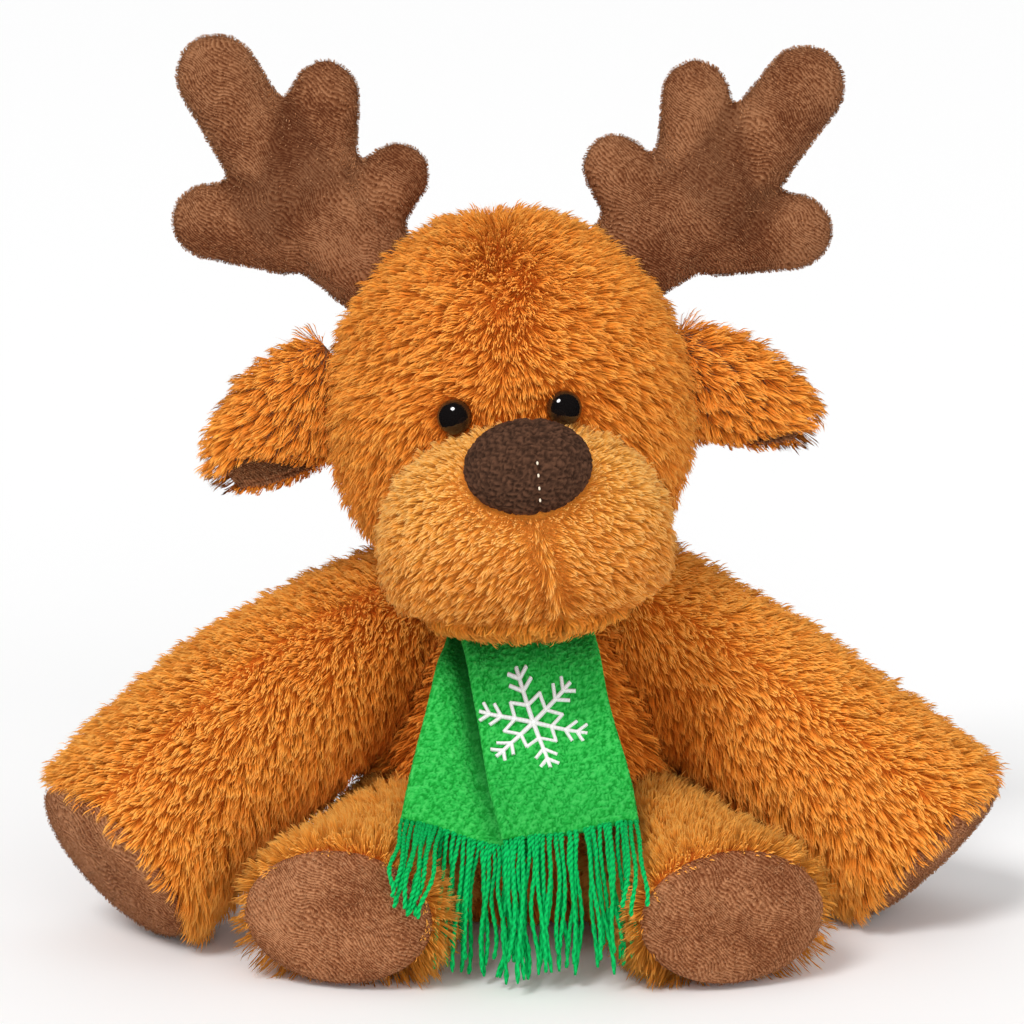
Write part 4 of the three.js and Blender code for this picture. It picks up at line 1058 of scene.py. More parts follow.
def strand_piece(name, roots, normals, tip, tone, turn, girth):
    """One mesh of many strands. The first three eighths are blunt drops: a point at the root, a triangle at 74 % of
    the way, lifted a tenth of the length from the straight line, and a point at the end. The others are fine
    cones from a triangle at the root. They are shaded mostly as the skin under them is, and the map gives tone
    across and height up."""
    axis = unit(tip - roots)
    first = unit(np.cross(axis, normals + 0.01))
    second = np.cross(axis, first)
    rays = np.stack([np.cos(turn + step) * first + np.sin(turn + step) * second
                     for step in (0, 2 * math.pi / 3, 4 * math.pi / 3)], 1)
    end, upward = unit(normals + 0.3 * axis)[:, None], normals[:, None]
    bent = roots + DROP_PEAK * (tip - roots) + 0.1 * np.linalg.norm(tip - roots, axis=1, keepdims=True) * normals
    drops = len(roots) * 3 // 8
    ring = (bent[:, None] + girth[:, None] * rays)[:drops]
    foot = (roots[:, None] + 0.62 * girth[:, None] * rays)[drops:]
    below = roots[:drops, None] - 0.4 * upward[:drops]
    points = np.vstack([np.concatenate([below, ring, tip[:drops, None]], 1).reshape(-1, 3),
                        np.concatenate([foot, tip[drops:, None]], 1).reshape(-1, 3)])
    points[:, 2] = np.maximum(points[:, 2], FLOOR_GAP)
    sideways = unit(upward + 0.4 * rays)
    facing = np.vstack([np.concatenate([upward, sideways, end], 1)[:drops].reshape(-1, 3),
                        np.concatenate([sideways, end], 1)[drops:].reshape(-1, 3)])
    faces = np.vstack([(np.arange(drops)[:, None, None] * 5 + DROP_FACES).reshape(-1, 3),
                       (np.arange(len(roots) - drops)[:, None, None] * 4 + 5 * drops + CONE_FACES).reshape(-1, 3)])
    piece = new_piece(name, points, triangles=faces)
    corners = []
    for own, place in ((tone[:drops], DROP_MAP[DROP_FACES]), (tone[drops:], CONE_MAP[CONE_FACES])):
        across, height = own[:, None, None] + 0.003 * place[..., 0], place[..., 1]
        corners.append(np.stack([across, np.broadcast_to(height, across.shape)], -1).ravel())
    layer = piece.data.uv_layers.new(name="OFBake")
    layer.data.foreach_set("uv", np.concatenate(corners).astype(np.float32))
    piece.data.normals_split_custom_set_from_vertices(facing.tolist())
    return piece


# ---------------------------------------------------------------- combing

def along_limb(form, sag=0.35, seam=0.0):
    """Pile runs from the joint to the hoof, sags a little, and leans away from the seam."""
    def comb(points, normals):
        away = form.from_seam(points)[:, None]
        lean = seam * np.sign(away) * fade(14, 0, np.abs(away))
        round_ = np.cross(form.along, normals) * np.sign(form.along[0])
        return form.along - sag * UP + lean * round_ + 0.24 * waver(points, 30, 5)
    return comb


def limb_length(form, length, seam, below):
    """Pile that is shorter along the limb's seam by one share and longer below the limb's far half by another."""
    def long(points):
        places, _, above = form.local(points)
        return (length * (1 - seam * fade(8, 1, np.abs(form.from_seam(points))))
                * (1 + below * fade(5, -15, above) * fade(40, 75, places)))
    return long


def painted_limb_light(form, pale):
    """Painted light and shade: pile is lighter by one share, and darker where the limb's under side meets the body."""
    def tone(points):
        places, _, above = form.local(points)
        return pale - 0.75 * fade(75, 25, places) * fade(18, -12, above)
    return tone


def down_body(points, normals):
    """Pile hangs down the body and turns outward from the middle line."""
    return -UP + 0.25 * np.sign(points[:, :1]) * RIGHT - 0.2 * BACK + 0.3 * waver(points, 35, 6)


def over_head(points, normals):
    """Pile parts at the forehead's seam, sweeps outward and down over the cheeks, and hangs at the back."""
    x, y, z = to_head(points).T
    outward = np.where(x < 0, -1.0, 0.75)
    crown = fade(-20, 45, z)
    front = fade(25, -25, y)
    parting = fade(0, 26, np.abs(x - 1))
    course = np.stack([outward * (0.3 + 0.6 * crown) * parting, 0.2 - 0.3 * front, -0.45 - 0.55 * (1 - crown)], -1)
    return course @ HEAD.T + 0.3 * waver(points, 26, 7)


# In what follows, local stands for points in the head's frame


def beside_parting(local):
    """How far each point is to the right of the parting under the nose, which slants down to the right."""
    return local[:, 0] - 2.5 - 0.19 * (-26 - local[:, 2])


def under_nose(local):
    """How far each point belongs to the strip that hangs under the nose: one from just below it to near the mouth."""
    return fade(-24, -28, local[:, 2]) * fade(MOUTH + 2, MOUTH + 10, local[:, 2])


def creases(local):
    """How deep each point is in a crease beside the tuft that hangs under the nose, and how far it is on the tuft."""
    below, beside = under_nose(local), np.abs(beside_parting(local))
    return below * np.exp(-((beside - 3) / 1.8) ** 2), below * fade(2.4, 1, beside)


def over_muzzle(points, normals):
    """Pile spreads away from the nose, sweeps to both sides of the parting below it, and hangs at the parting itself
    and below the mouth."""
    local = to_head(points)
    away = unit(local - (NOSE_MIDDLE + np.array([0, 12, 4])))
    beside = beside_parting(local)[:, None]
    sweep = np.column_stack([np.sign(beside), 0 * beside, -0.42 - 0.012 * np.abs(beside)])
    hang = np.column_stack([0.12 * np.sin(local[:, 2:] / 3.5), 0 * beside, 0 * beside - 1])
    below = fade(-18, -30, local[:, 2:])
    course = away * (1 - below) + unit(sweep) * below
    middle = under_nose(local)[:, None] * fade(2.6, 1.2, np.abs(beside))
    course = course * (1 - middle) + hang * middle
    chin = fade(MOUTH + 2, MOUTH - 3, local[:, 2:])
    course = course * (1 - chin) + chin * np.array([0, -0.3, -1])
    return course @ HEAD.T + 0.22 * waver(points, 16, 8)


def along_ear(side):
    """Pile runs from the root to the tip and hangs a little."""
    along = HEAD @ ear_axes(side)[0]

    def comb(points, normals):
        return along - 0.3 * UP + 0.25 * waver(points, 20, 9)
    return comb


def ear_length(side, length):
    """Pile is short at the border of the cut, so that the lining shows."""
    along, front, high = ear_axes(side)

    def long(points):
        local = to_head(points) - ear_root(side)
        place = (local @ along + EAR_SUNK) / 60
        angle = np.degrees(np.arctan2(local @ front, -(local @ high)))
        edge = ear_cut(side, place)
        return length * (1 - 0.62 * fade(32, 4, angle - edge) * fade(-45, -15, angle) * fade(0.25, 0.45, place))
    return long


def swirling(length, seed):
    """Short pile that swirls every way."""
    def comb(points, normals):
        return waver(points, length, seed) + 0.2 * waver(points, length / 3, seed + 1)
    return comb


# ---------------------------------------------------------------- rooms that strands keep out of

def filled(form, inset):
    """Points all through a form: its surface at several insets."""
    deepest = form.rows[:, 1:].max()
    return np.vstack([form.surface(step, 90, 110)[0] for step in np.arange(inset, deepest, 2.0)])


@functools.cache
def scarf_room():
    """Where the scarf is."""
    across, share = spread((-SCARF_HALF, SCARF_HALF, 60), (0, 1, 110))
    turn, round_ = spread((0, 2 * math.pi, 300), (0, 2 * math.pi, 40))
    return Room(*[tail.points(across, share * tail.length, out) for tail in TAILS.values() for out in (-1.5, 0, 1.5)],
                *[collar_points(turn, round_, out) for out in (0, -1.5)])


def on_face(points):
    """Whether a point is in or over the middle of an eye, in its dome, or in the nose."""
    local = to_head(points)
    taken = nose_form().inside(points, 0.25)
    for side in (-1, 1):
        seat, outward = eye_seat(side)
        rise = (local - seat) @ outward
        reach = np.linalg.norm(local - seat - rise[:, None] * outward, axis=1)
        dome = EYE_FOOT + EYE_DOME * np.sqrt(np.clip(1 - (reach / EYE_RADIUS) ** 2, 0, 1))
        eye = (reach < EYE_RADIUS - 1.4) | (reach < EYE_RADIUS + 0.15) & (rise < dome + 0.25)
        taken |= (rise > -4) & (rise < 12) & eye
    return taken


@functools.cache
def crown_room():
    """Where the antlers and the ears are, over the head."""
    u, v = spread((0, 1, 160), (0, 1, 60))
    return Room(*[filled(lobe, 1) for side in (-1, 1) for lobe in antler_lobes(side)],
                *[ear_sheet(side, inset, 1, u, v) for side in (-1, 1) for inset in (0, 1.5, 3, 4.5)])


def seen(points, normals):
    """Share of strands at a place: all of them where it faces the camera's side, fewer at the back and underneath."""
    return (0.36 + 0.64 * fade(-0.5, 0.05, 0.17 * normals[:, 2] - normals[:, 1])) * fade(-1.15, -0.75, normals[:, 2])


def clear_of(*tests):
    """A test that keeps the strands for which none of the given tests is true."""
    def keep(points, normals):
        kept = np.ones(len(points), bool)
        for test in tests:
            kept &= ~test(points)
        return kept
    return keep


# ---------------------------------------------------------------- settings

def tint(name, description, default):
    return FloatVectorProperty(name=name, description=description, default=default, subtype="COLOR", size=3,
                               min=0, max=1)


def amount(name, description, default, **limits):
    return FloatProperty(name=name, description=description, default=default, **limits)


def length_mm(name, description, default):
    return amount(name, description, default * MM, unit="LENGTH", subtype="DISTANCE", precision=4)


class DeerPile(bpy.types.PropertyGroup):
    """Fur and pile."""

    fur_length: length_mm("Fur length", "Length of the long pile on the body", 10.0)
    muzzle_length: length_mm("Muzzle pile", "Length of the pile on the muzzle", 7.0)
    short_length: length_mm("Short pile", "Length of the pile on antlers and hooves", 1.5)
    fur_width: length_mm("Strand width", "Width of one strand of the long pile", 0.5)
    density: amount("Density", "Strands on a square millimetre of the face", 2.08, min=0.1, max=4)
    # Root and tip colours carry painted shade deep in the pile and painted light at the tips, over the pile's own
    # colour
    root: tint("Root", "Long pile at its root", (0.7, 0.15, 0.009))
    middle: tint("Middle", "Long pile at its middle", (0.94, 0.27, 0.026))
    tip: tint("Tip", "Long pile at its tip", (0.95, 0.4, 0.075))
    muzzle: tint("Muzzle", "Pile of the muzzle", (0.96, 0.32, 0.038))
    brown: tint("Brown pile", "Pile of antlers and hooves", (0.19, 0.07, 0.028))
    nose: tint("Nose", "Fleece of the nose", (0.075, 0.033, 0.018))


class DeerScarf(bpy.types.PropertyGroup):
    """Scarf, fringe and snowflake."""

    thickness: length_mm("Thickness", "Thickness of the fleece", 4.6)
    curl: length_mm("Curl", "Height of the fleece's curls", 0.32)
    yarn: length_mm("Yarn", "Thickness of a yarn of the fringe", 1.8)
    yarns: IntProperty(name="Yarns", description="Yarns on each tail", default=34, min=3, max=60)
    fleece: tint("Fleece", "Colour of the fleece", (0.026, 0.49, 0.07))
    fringe: tint("Fringe", "Colour of the yarns", (0.002, 0.4, 0.09))
    thread: tint("Thread", "Colour of the stitched snowflake", (0.93, 0.94, 0.92))


class DeerStage(bpy.types.PropertyGroup):
    """Floor, light and camera."""

    distance: amount("Camera distance", "From the camera to the toy", 1.6, unit="LENGTH", min=0.5)
    elevation: amount("Camera elevation", "Angle of the camera above level", math.radians(10), subtype="ANGLE")
    focal: amount("Focal length", "Focal length for a 36 mm wide sensor, in millimetres", 137.2, min=10)
    target_x: length_mm("Aim to the right", "Point that the camera looks at", -5.8)
    target_y: length_mm("Aim to the back", "Point that the camera looks at", 52.95)
    target_z: length_mm("Aim height", "Point that the camera looks at", 155.0)
    key: amount("Key light", "Strength of the soft lamp above", 1.6, min=0)
    sky: amount("Sky light", "Strength of the even light all round", 0.62, min=0)
    floor: tint("Floor", "Colour of the floor", (0.95, 0.95, 0.95))


def settings():
    return bpy.context.scene.deer_pile, bpy.context.scene.deer_scarf, bpy.context.scene.deer_stage


# ---------------------------------------------------------------- operators

SENSOR = 36
# Half the floor's width and how far it lies below the toy, in millimetres
FLOOR_HALF, FLOOR_BELOW = 14000.0, 0.2
# Each lamp: its share of the key light, its width in the sky, its tilt and its turn, in degrees
LAMPS = {"key": (1, 20, 42, -30), "fill": (1.2, 60, 84, 14)}


class StageOperator(bpy.types.Operator):
    """Sets the floor, the light and the camera"""

    bl_idname = "deer.stage"
    bl_label = "Stage"

    def execute(self, context):
        stage, scene = settings()[2], context.scene
        scene.view_settings.view_transform = "Standard"
        world = bpy.data.worlds.new("studio")
        world.use_nodes = True
        sky = world.node_tree.nodes["Background"].inputs
        sky[0].default_value, sky[1].default_value = (1, 1, 1, 1), stage.sky
        scene.world = world
        world.cycles_visibility.glossy = False
        for name, (share, width, tilt, turn) in LAMPS.items():
            lamp = bpy.data.lights.new(name, "SUN")
            lamp.energy, lamp.angle = stage.key * share, math.radians(width)
            holder = bpy.data.objects.new(name, lamp)
            holder.rotation_euler = (math.radians(tilt), 0, math.radians(turn))
            holder.visible_glossy = name == "key"
            scene.collection.objects.link(holder)
        corners = np.array([[-1, -1, 0], [1, -1, 0], [1, 1, 0], [-1, 1, 0]]) * FLOOR_HALF
        floor = new_piece("studio_floor", corners - SHIFT / MM - [0, 0, FLOOR_BELOW], np.array([[0, 1, 2, 3]]))
        dress(floor, floor_finish(stage.floor))
        floor.visible_glossy = False
        camera = bpy.data.cameras.new("camera")
        camera.lens, camera.sensor_width, camera.clip_end = stage.focal, SENSOR, 60
        holder = bpy.data.objects.new("camera", camera)
        holder.location = (stage.target_x, stage.target_y - stage.distance * math.cos(stage.elevation),
                           stage.target_z + stage.distance * math.sin(stage.elevation))
        holder.rotation_euler = (math.pi / 2 - stage.elevation, 0, 0)
        scene.collection.objects.link(holder)
        scene.camera = holder
        return {"FINISHED"}


def cover(name, form, body, nodes, material, cap=2.5, voxel=5.0, inset=1.5, sewn=None):
    """A stuffed cover from a form, which stands for the part's own solids."""
    piece = stuffed(new_piece(name, *form.surface(inset)), voxel, cap, sewn)
    return finished(piece, material, body, nodes)


def material_of(name, make, *values):
    """A material made once and found again."""
    return bpy.data.materials.get(name) or make(name, *values)


def long_fur():
    wool = settings()[0]
    return material_of("long fur", fur_finish, tuple(wool.root), tuple(wool.middle), tuple(wool.tip))


def short_pile():
    brown = settings()[0].brown
    # Darker at the root as painted shade and tan at the tip as painted light, over the brown pile's own colour
    return material_of("short pile", fur_finish, shade(brown, 1.2, 1.1, 1), shade(brown, 2, 2.2, 2.2),
                       shade(brown, 3.2, 4, 4.6))


def velvet():
    return material_of("velvet", velvet_finish, tuple(settings()[0].brown))


def backing():
    # The backing cloth is real; its dark root colour is painted shade where it shows between the strands
    return material_of("fur backing", skin_finish, shade(settings()[0].root, 0.95))


class BodyOperator(bpy.types.Operator):
    """Makes the torso and the tail with their fur"""

    bl_idname = "deer.body"
    bl_label = "Torso and tail"

    def execute(self, context):
        wool = settings()[0]
        long, wide = wool.fur_length / MM, wool.fur_width / MM
        torso = cover("torso", TORSO, "torso", ["torso_cover", "torso_filling"], backing())
        # Painted shade: the torso's pile is darker all over, as it shows mostly in the gaps between head, arms and
        # scarf
        pile("torso_fur", Skin(torso), "torso", long_fur(), down_body, wool.density * 0.4,
             long, wide * 1.4, seed=11, painted_tone=lambda points: -0.4,
             keep=clear_of(scarf_room().holds, SKULL.inside, MUZZLE.inside,
                           *[within(form, -4) for form in LIMBS.values()]))
        tail = cover("tail_cover", TAIL, "tail", ["tail"], backing(), cap=1, voxel=3.0, inset=3)
        pile("tail_fur", Skin(tail), "tail", long_fur(), along_limb(TAIL, 0.2), wool.density * 0.8,
             long * 0.8, wide * 1.1, seed=12, keep=clear_of(within(TORSO, -3)))
        return {"FINISHED"}


def seam_of(form):
    """A test for points on the seam along a limb."""
    def sewn(points):
        return (np.abs(form.from_seam(points)) < 3) & (form.local(points)[0] > 15)
    return sewn


# Towards the camera and a little up
CAMERA_SIDE = np.array([0, -0.985, 0.174])


def over_rim(form):
    """A test for points that stand out too far over the pad: pile may reach 6 mm over it on the camera's side of an
    arm or on top of a leg, and stays 3 mm short of it elsewhere."""
    def over(points):
        places, aside, above = form.local(points)
        radial = unit(aside[:, None] * form.across + above[:, None] * form.upward)
        shown = fade(-0.1, 0.3, radial @ CAMERA_SIDE) if form.raised else fade(-0.75, -0.35, radial[:, 2])
        return places > form.length - 3 + 9 * shown
    return over


# A pad's dome: places out from the limb's end, and shares of the end's halves there
PAD_SHARES = [(-4, .9), (-2, .98), (0, .98), (2.4, .92), (5, .76), (7, .48), (8, .05)]


class LimbsOperator(bpy.types.Operator):
    """Makes arms and legs with their fur and their pads"""

    bl_idname = "deer.limbs"
    bl_label = "Arms and legs"

    def execute(self, context):
        wool = settings()[0]
        for number, (name, form) in enumerate(LIMBS.items()):
            piece = cover(f"{name}_skin", form, name, [f"{name}_cover", f"{name}_filling"], backing(), cap=3,
                          inset=1.5 if form.raised else 2.5, sewn=seam_of(form))
            clear = clear_of(scarf_room().holds, SKULL.inside, MUZZLE.inside, within(TORSO, -6), over_rim(form),
                             *[within(other, -6) for other in LIMBS.values() if other is not form])
            # Each kind of limb: lift, stray, seam, how much lighter its pile is painted as painted light, and density
            lift, stray, seam, pale, dense = (41, 13, 0.35, 0.25, 0.95) if form.raised else (60, 32, 0, 0.6, 0.8)
            pile(f"{name}_fur", Skin(piece), name, long_fur(), along_limb(form, seam=seam),
                 wool.density * dense, limb_length(form, wool.fur_length / MM, seam, 0.35), wool.fur_width / MM,
                 lift=lift, stray=stray, seed=20 + number, share=seen, painted_tone=painted_limb_light(form, pale),
                 keep=lambda points, normals: clear(points, normals) & (normals @ form.facing < 0.75))
            self.pad(name, form, 40 + number)
        return {"FINISHED"}

    @staticmethod
    def pad(name, form, seed):
        """The pad is a dome over an oval, about 8 mm deep, its rim turned back into the limb."""
        wool = settings()[0]
        wide, high = form.halves[0] - 1.2, form.halves[1] - 1.2
        dome = Form(form.end, form.facing, form.across, np.cross(form.facing, form.across),
                    through([(place, wide * share, high * share) for place, share in PAD_SHARES], 30))
        points, quads, triangles = dome.surface(0, 30, 60)
        points[:, 2] = np.maximum(points[:, 2], FLOOR_GAP)
        pad = finished(new_piece(f"{name}_sole", points, quads, triangles),
                       material_of("sole velvet", velvet_finish, shade(wool.brown, 1.4)),
                       name, [f"{name}_pad"])
        pile(f"{name}_sole_pile", Skin(pad), name, short_pile(), swirling(14, seed), 0.7,
             wool.short_length / MM, 0.3, lift=35, tuft=1.8, pull=0.3, stray=40, seed=seed, curl=0.2,
             share=lambda points, normals: normals @ form.facing > 0.05)


class HeadOperator(bpy.types.Operator):
    """Makes the head, muzzle and chin with their fur"""

    bl_idname = "deer.head"
    bl_label = "Head"

    def execute(self, context):
        wool = settings()[0]
        wide = wool.fur_width / MM
        skull = cover("head_skin", SKULL, "head", ["head_cover", "head_filling"], backing(), cap=3,
                      sewn=lambda points: (np.abs(to_head(points)[:, 0]) < 3) & (to_head(points)[:, 2] > 5))
        pile("head_fur", Skin(skull), "head", long_fur(), over_head, wool.density,
             self.forehead_length, wide, seed=31, share=seen, painted_tone=self.painted_forehead_shade,
             keep=clear_of(scarf_room().holds, on_face, crown_room().holds, within(MUZZLE, 1.5)))
        # The muzzle's backing is a darker copy of its pile: painted shade where it shows between the strands
        muzzle = cover("muzzle_skin", MUZZLE, "head", ["muzzle_cover", "chin_cover"],
                       material_of("muzzle backing", skin_finish, shade(wool.muzzle, 0.75)), voxel=4.0)
        pale = material_of("muzzle fur", fur_finish, (0.84, 0.22, 0.02), tuple(wool.muzzle), (1.0, 0.53, 0.15))
        skin, keep = Skin(muzzle), clear_of(scarf_room().holds, on_face, within(SKULL, -1.5))
        pile("muzzle_fur", skin, "head", pale, over_muzzle, wool.density * 1.35, self.muzzle_length,
             wide * 0.8, lift=self.muzzle_lift, tuft=2.6, pull=0.45, seed=32, painted_tone=self.painted_muzzle_light, keep=keep,
             share=lambda points, normals: to_head(points)[:, 2] > MOUTH)
        pile("chin_fur", skin, "head", long_fur(), over_muzzle, wool.density * 1.2,
             wool.muzzle_length / MM * 1.1, wide, lift=28, seed=33, keep=keep,
             share=lambda points, normals: to_head(points)[:, 2] <= MOUTH)
        return {"FINISHED"}

    @staticmethod
    def forehead_length(points):
        """Pile is shorter round the eyes and at the seam."""
        local = to_head(points)
        return (settings()[0].fur_length / MM * (0.55 + 0.45 * fade(6, 22, from_eyes(local)))
                * (0.86 + 0.14 * fade(0, 8, np.abs(local[:, 0]))))

    @staticmethod
    def painted_forehead_shade(points):
        """Painted shade: pile is darker round the eyes and at the top of the seam."""
        local = to_head(points)
        return (-0.45 * fade(14, 8, from_eyes(local))
                - 0.15 * fade(6, 0, np.abs(local[:, 0])) * fade(20, 60, local[:, 2]))

    @staticmethod
    def muzzle_length(points):
        """Pile is shortest round the nose, at the mouth and in the creases beside the hanging tuft, which is longer."""
        local = to_head(points)
        crease, tuft = creases(local)
        return (settings()[0].muzzle_length / MM * (0.6 + 0.4 * fade(1, 2.0, from_nose(local)))
                * (0.6 + 0.4 * fade(0, 6, np.abs(local[:, 2] - MOUTH))) * (1 - 0.6 * crease + 0.5 * tuft))

    @staticmethod
    def muzzle_lift(points):
        """Pile stands upright right beside the nose."""
        return 44 + 34 * fade(1.35, 1.1, from_nose(to_head(points)))

    @staticmethod
    def painted_muzzle_light(points):
        """Painted light and shade: pile is lighter on top, darker and more orange below, and dark in the creases and in
        the mouth line.
        """
        local = to_head(points)
        mouth = fade(5, 1, np.abs(local[:, 2] - MOUTH)) * fade(-60, -80, local[:, 1])
        return (0.08 + 0.42 * fade(-45, -5, local[:, 2]) - 0.25 * fade(-30, -60, local[:, 2])
                - 0.55 * creases(local)[0] - 0.6 * mouth)


# The eye from the inner end of its shank to the foot of its dome: radius, and place out from the skull
EYE_STEM = [[0.4, -12], [2.4, -12], [2.4, .4], [2.6, .4], [6.5, .4], [6.8, .7], [6.85, 1.2]]
# Where the nose's seam runs, to the right of its middle
NOSE_SEAM = 3


class FaceOperator(bpy.types.Operator):
    """Makes the eyes and the nose"""

    bl_idname = "deer.face"
    bl_label = "Eyes and nose"

    def execute(self, context):
        fleece = settings()[0].nose
        for side, hand in ((-1, "left"), (1, "right")):
            self.eye(side, hand)
        nose = stuffed(new_piece("nose_skin", *nose_form(1.0).surface(0, 40, 48)), 1.4, 1.0)
        self.crease(nose)
        # Shaded and lit copies of the nose colour, for the painted shade and painted highlight of its curls
        finished(nose, material_of("nose fleece", fleece_finish, tuple(fleece), shade(fleece, 0.5),
                                   shade(fleece, 1.7), 330.0),
                 "head", ["nose_cover", "nose_filling"])
        self.stitches()
        return {"FINISHED"}

    @staticmethod
    def stitches():
        """Four pale stitches that show along the seam of the nose: small balls half sunk in it."""
        across, back, upright = lean_axes(NOSE_LEAN)
        wide, deep, high = NOSE_HALVES
        balls = []
        for rise in (-1.5, -6.0, -10.5, -14.5):
            sunk = 0.5 - deep * math.sqrt(1 - (NOSE_SEAM / wide) ** 2 - (rise / high) ** 2)
            balls.append(head_form(NOSE_MIDDLE + NOSE_SEAM * across + sunk * back + rise * upright,
                                   ball_rows(0.42, 0.5, 0.6, 8)).surface(0, 8, 8))
        finished(new_piece("nose_stitches", *joined(balls)),
                 material_of("seam thread", plain_finish, (0.85, 0.72, 0.55), 2000.0, 0.0001), "head")

    @staticmethod
    def crease(nose):
        """Raises the fleece's curls by 0.35 mm and draws the nose in along its upright seam: 1 mm deep, fading over
        1.2 mm to each side."""
        points = points_of(nose)
        local = to_head(points) - NOSE_MIDDLE
        nap = curls(points, 1.9, 84)
        depth = np.exp(-((local[:, 0] - NOSE_SEAM) / 1.2) ** 2) - 0.35 * nap
        points = points - depth[:, None] * unit(local) @ HEAD.T
        set_attribute(nose, "nap", nap * 0.5 + 0.5)
        nose.data.vertices.foreach_set("co", (points * MM + SHIFT).astype(np.float32).ravel())
        nose.data.update()

    @staticmethod
    def eye(side, hand):
        """A turned shape: the shank, the flange and a dome that is part of an ellipse."""
        turn, sides = np.radians(np.linspace(0, 88, 16)), 64
        dome = np.column_stack([EYE_RADIUS * np.cos(turn), EYE_FOOT + EYE_DOME * np.sin(turn)])
        profile = np.vstack([EYE_STEM, dome])
        seat, outward = eye_seat(side)
        first = unit(np.cross(outward, UP))
        second = np.cross(first, outward)
        angle = np.linspace(0, 2 * math.pi, sides, endpoint=False)
        round_ = np.cos(angle)[:, None] * first + np.sin(angle)[:, None] * second
        points = (seat + profile[:, None, :1] * round_ + profile[:, None, 1:] * outward).reshape(-1, 3)
        tips = np.stack([seat + profile[0, 1] * outward, seat + profile[-1, 1] * outward])
        faces = ring_faces(len(profile), sides, len(points), len(points) + 1)
        eye = new_piece(f"eye_{hand}_dome", *closed_by_volume(from_head(np.vstack([points, tips])), *faces))
        set_attribute(eye, "rim", np.append(np.repeat(fade(5.2, 6.6, profile[:, 0]), sides), [0, 0]))
        finished(eye, material_of("eye plastic", eye_finish), "head", [f"eye_{hand}"])


class AntlersOperator(bpy.types.Operator):
    """Makes the antlers with their short pile"""

    bl_idname = "deer.antlers"
    bl_label = "Antlers"

    def execute(self, context):
        for side, hand in ((-1, "left"), (1, "right")):
            body, seed = f"antler_{hand}", 50 + side
            lobes = joined([lobe.surface(1.2, 24, 28) for lobe in antler_lobes(side)])
            antler = stuffed(new_piece(f"{body}_skin", *lobes), 3.0, 1.6)
            # Painted shade in the crotches between the tines
            set_attribute(antler, "painted_shade", 0.5 * antler_creases(side, points_of(antler)))
            finished(antler, velvet(), body, [f"{body}_cover", f"{body}_filling"])
            pile(f"{body}_pile", Skin(antler), body, short_pile(), swirling(24, seed), 3.6,
                 settings()[0].short_length / MM, 0.34, lift=50, tuft=1.8, pull=0.3, stray=24, seed=seed, curl=0.2,
                 share=self.rim, keep=clear_of(within(SKULL, -4)))
        return {"FINISHED"}

    @staticmethod
    def rim(points, normals):
        """Loose pile stands mostly round the edge, where the two halves are sewn."""
        return 0.04 + (1 - np.abs(normals @ (HEAD @ BACK))) ** 2


class EarsOperator(bpy.types.Operator):
    """Makes the folded ears: long pile outside, short pile on the lining"""

    bl_idname = "deer.ears"
    bl_label = "Ears"

    def execute(self, context):
        wool = settings()[0]
        away = clear_of(within(SKULL, -3))
        for side, hand in ((-1, "left"), (1, "right")):
            body = f"ear_{hand}"
            # The back cloth under the orange pile takes the brown velvet of the lining: painted shade in the gaps
            # between its strands
            back = self.cloth(side, body, "back", 2.2, 1, 2.6, "orange_plush")
            pile(f"{body}_fur", Skin(back), body, long_fur(), along_ear(side), wool.density * 1.1,
                 ear_length(side, wool.fur_length / MM * 0.95), wool.fur_width / MM, lift=38, seed=70 + side,
                 share=self.facing(side, 1), keep=away, tuft=3.4, pull=0.55)
            lining = self.cloth(side, body, "lining", 4.6, .97, 1.8, "brown_pile")
            pile(f"{body}_pile", Skin(lining), body, short_pile(), along_ear(side), 1.3,
                 wool.short_length / MM, 0.5, lift=25, tuft=2.2, stray=35, seed=74 + side,
                 share=self.facing(side, -1), keep=away)
        return {"FINISHED"}

    @staticmethod
    def cloth(side, body, name, inset, share, wall, slot):
        """A slab over the ear's fold, drawn in by an inset, shorter by a share and as thick as its wall."""
        grid = ear_sheet(side, inset, share, *spread((0, 1, 64), (0, 1, 44)))
        piece = new_piece(f"{body}_{name}_cloth", *slab(*slab_points(grid[::-1] if side < 0 else grid, wall)))
        return finished(piece, velvet(), body, [f"{body}_{name}"])

    @staticmethod
    def facing(side, wanted):
        """Which places face away from the ear's own line, or towards it if the wanted side is below nought."""
        axis, root = HEAD @ ear_axes(side)[0], from_head(ear_root(side))

        def share(points, normals):
            radial = points - root
            radial = radial - (radial @ axis)[:, None] * axis
            return wanted * np.sum(radial * normals, axis=1) > -0.5
        return share


# Size of the fleece's curls on the scarf
CURL_SIZE = 1.6
# A yarn's length for one turn of its strands, how wide the yarns stand along the tail's end, and a bunch's width
YARN_TWIST, FRINGE_WIDE, BUNCH = 5.2, 51, 9
# The width of a thread of the snowflake's stitches
THREAD = 0.55
# The snowflake's arm, its turn, and its middle across and along the upper tail
FLAKE_ARM, FLAKE_TURN, FLAKE_ACROSS, FLAKE_ALONG = 21, math.radians(98), -5, 45


